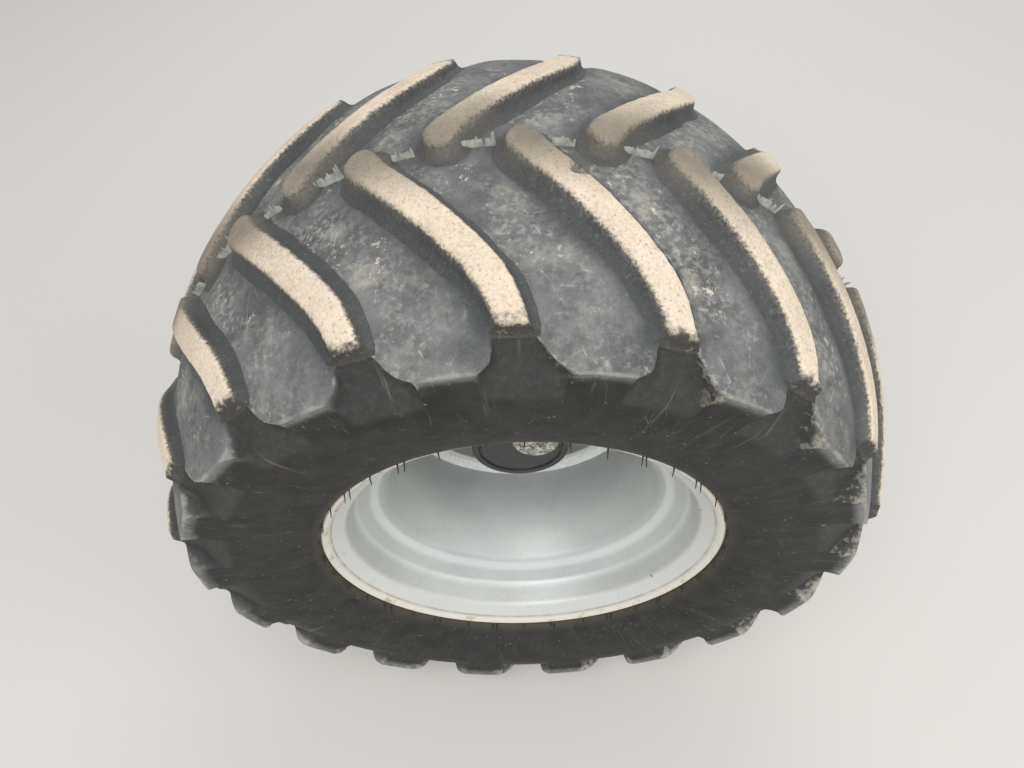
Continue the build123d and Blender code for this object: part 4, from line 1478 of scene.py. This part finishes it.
# Operators
class WHEEL_OT_tyre_carcass(bpy.types.Operator):
    """Makes the tyre's body with its shoulder lobes"""

    bl_idname = "wheel.tyre_carcass"
    bl_label = "Tyre carcass"

    def execute(self, context):
        tyre_carcass()
        return {"FINISHED"}


class WHEEL_OT_tyre_lugs(bpy.types.Operator):
    """Makes both rows of lugs"""

    bl_idname = "wheel.tyre_lugs"
    bl_label = "Tyre lugs"

    def execute(self, context):
        tyre_lugs()
        return {"FINISHED"}


class WHEEL_OT_mould_remains(bpy.types.Operator):
    """Makes the torn flash and the vent whiskers"""

    bl_idname = "wheel.mould_remains"
    bl_label = "Mould remains"

    def execute(self, context):
        mould_remains()
        return {"FINISHED"}


class WHEEL_OT_rim(bpy.types.Operator):
    """Makes the turned rim and the weld beads"""

    bl_idname = "wheel.rim"
    bl_label = "Rim and welds"

    def execute(self, context):
        turned_rim()
        weld_beads()
        return {"FINISHED"}


class WHEEL_OT_fastenings(bpy.types.Operator):
    """Makes the wheel nuts and studs"""

    bl_idname = "wheel.fastenings"
    bl_label = "Nuts and studs"

    def execute(self, context):
        wheel_fastenings()
        return {"FINISHED"}


class WHEEL_OT_hub_cap(bpy.types.Operator):
    """Makes the hub cap and its plug"""

    bl_idname = "wheel.hub_cap"
    bl_label = "Hub cap"

    def execute(self, context):
        hub_cap()
        return {"FINISHED"}


class WHEEL_OT_frame_finishes(bpy.types.Operator):
    """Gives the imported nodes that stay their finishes"""

    bl_idname = "wheel.frame_finishes"
    bl_label = "Finishes of the packed parts"

    def execute(self, context):
        finishes = {
            "axle_casing": cast_iron, "wheel_hub": cast_iron, "spindle": machined_steel,
            "half_shaft": machined_steel, "end_bolts": dark_steel, "oil_seal": plain_rubber,
            "wheel_disc": disc_paint, "valve": plain_rubber, "rim": rim_paint,
            "disc_welds": weld_paint, "wheel_nuts": zinc_plate, "wheel_studs": zinc_plate,
            "hub_cap": black_paint, "hub_plug": worn_silver, "tyre": tyre_rubber,
        }
        for name, material in finishes.items():
            dress_node(name, material())
        return {"FINISHED"}


class WHEEL_OT_stage(bpy.types.Operator):
    """Makes the floor, the lights and the camera"""

    bl_idname = "wheel.stage"
    bl_label = "Stage"

    def execute(self, context):
        build_stage()
        return {"FINISHED"}


OPERATORS = (
    WHEEL_OT_stage, WHEEL_OT_tyre_carcass, WHEEL_OT_tyre_lugs, WHEEL_OT_mould_remains,
    WHEEL_OT_rim, WHEEL_OT_fastenings, WHEEL_OT_hub_cap, WHEEL_OT_frame_finishes,
)


class WHEEL_PT_panel(bpy.types.Panel):
    """Lists the sizes, the colours and the operators"""

    bl_idname = "WHEEL_PT_panel"
    bl_label = "Loader wheel"
    bl_space_type = "VIEW_3D"
    bl_region_type = "UI"
    bl_category = "Loader wheel"

    def draw(self, context):
        for owner, _ in SETTINGS:
            group = getattr(context.scene, owner)
            for key in group.__annotations__:
                self.layout.prop(group, key)
        for operator in OPERATORS:
            self.layout.operator(operator.bl_idname)


SETTINGS = (
    ("tyre_sizes", TyreSizes), ("wheel_sizes", WheelSizes),
    ("finish_colours", FinishColours), ("stage_sizes", StageSizes),
)


def register():
    for owner, group in SETTINGS:
        bpy.utils.register_class(group)
        setattr(bpy.types.Scene, owner, PointerProperty(type=group))
    for entry in (*OPERATORS, WHEEL_PT_panel):
        bpy.utils.register_class(entry)


def unregister():
    for entry in (WHEEL_PT_panel, *reversed(OPERATORS)):
        bpy.utils.unregister_class(entry)
    for owner, group in reversed(SETTINGS):
        delattr(bpy.types.Scene, owner)
        bpy.utils.unregister_class(group)


def main():
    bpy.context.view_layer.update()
    register()
    for operator in OPERATORS:
        group, name = operator.bl_idname.split(".")
        getattr(getattr(bpy.ops, group), name)()


if __name__ == "__main__":
    main()
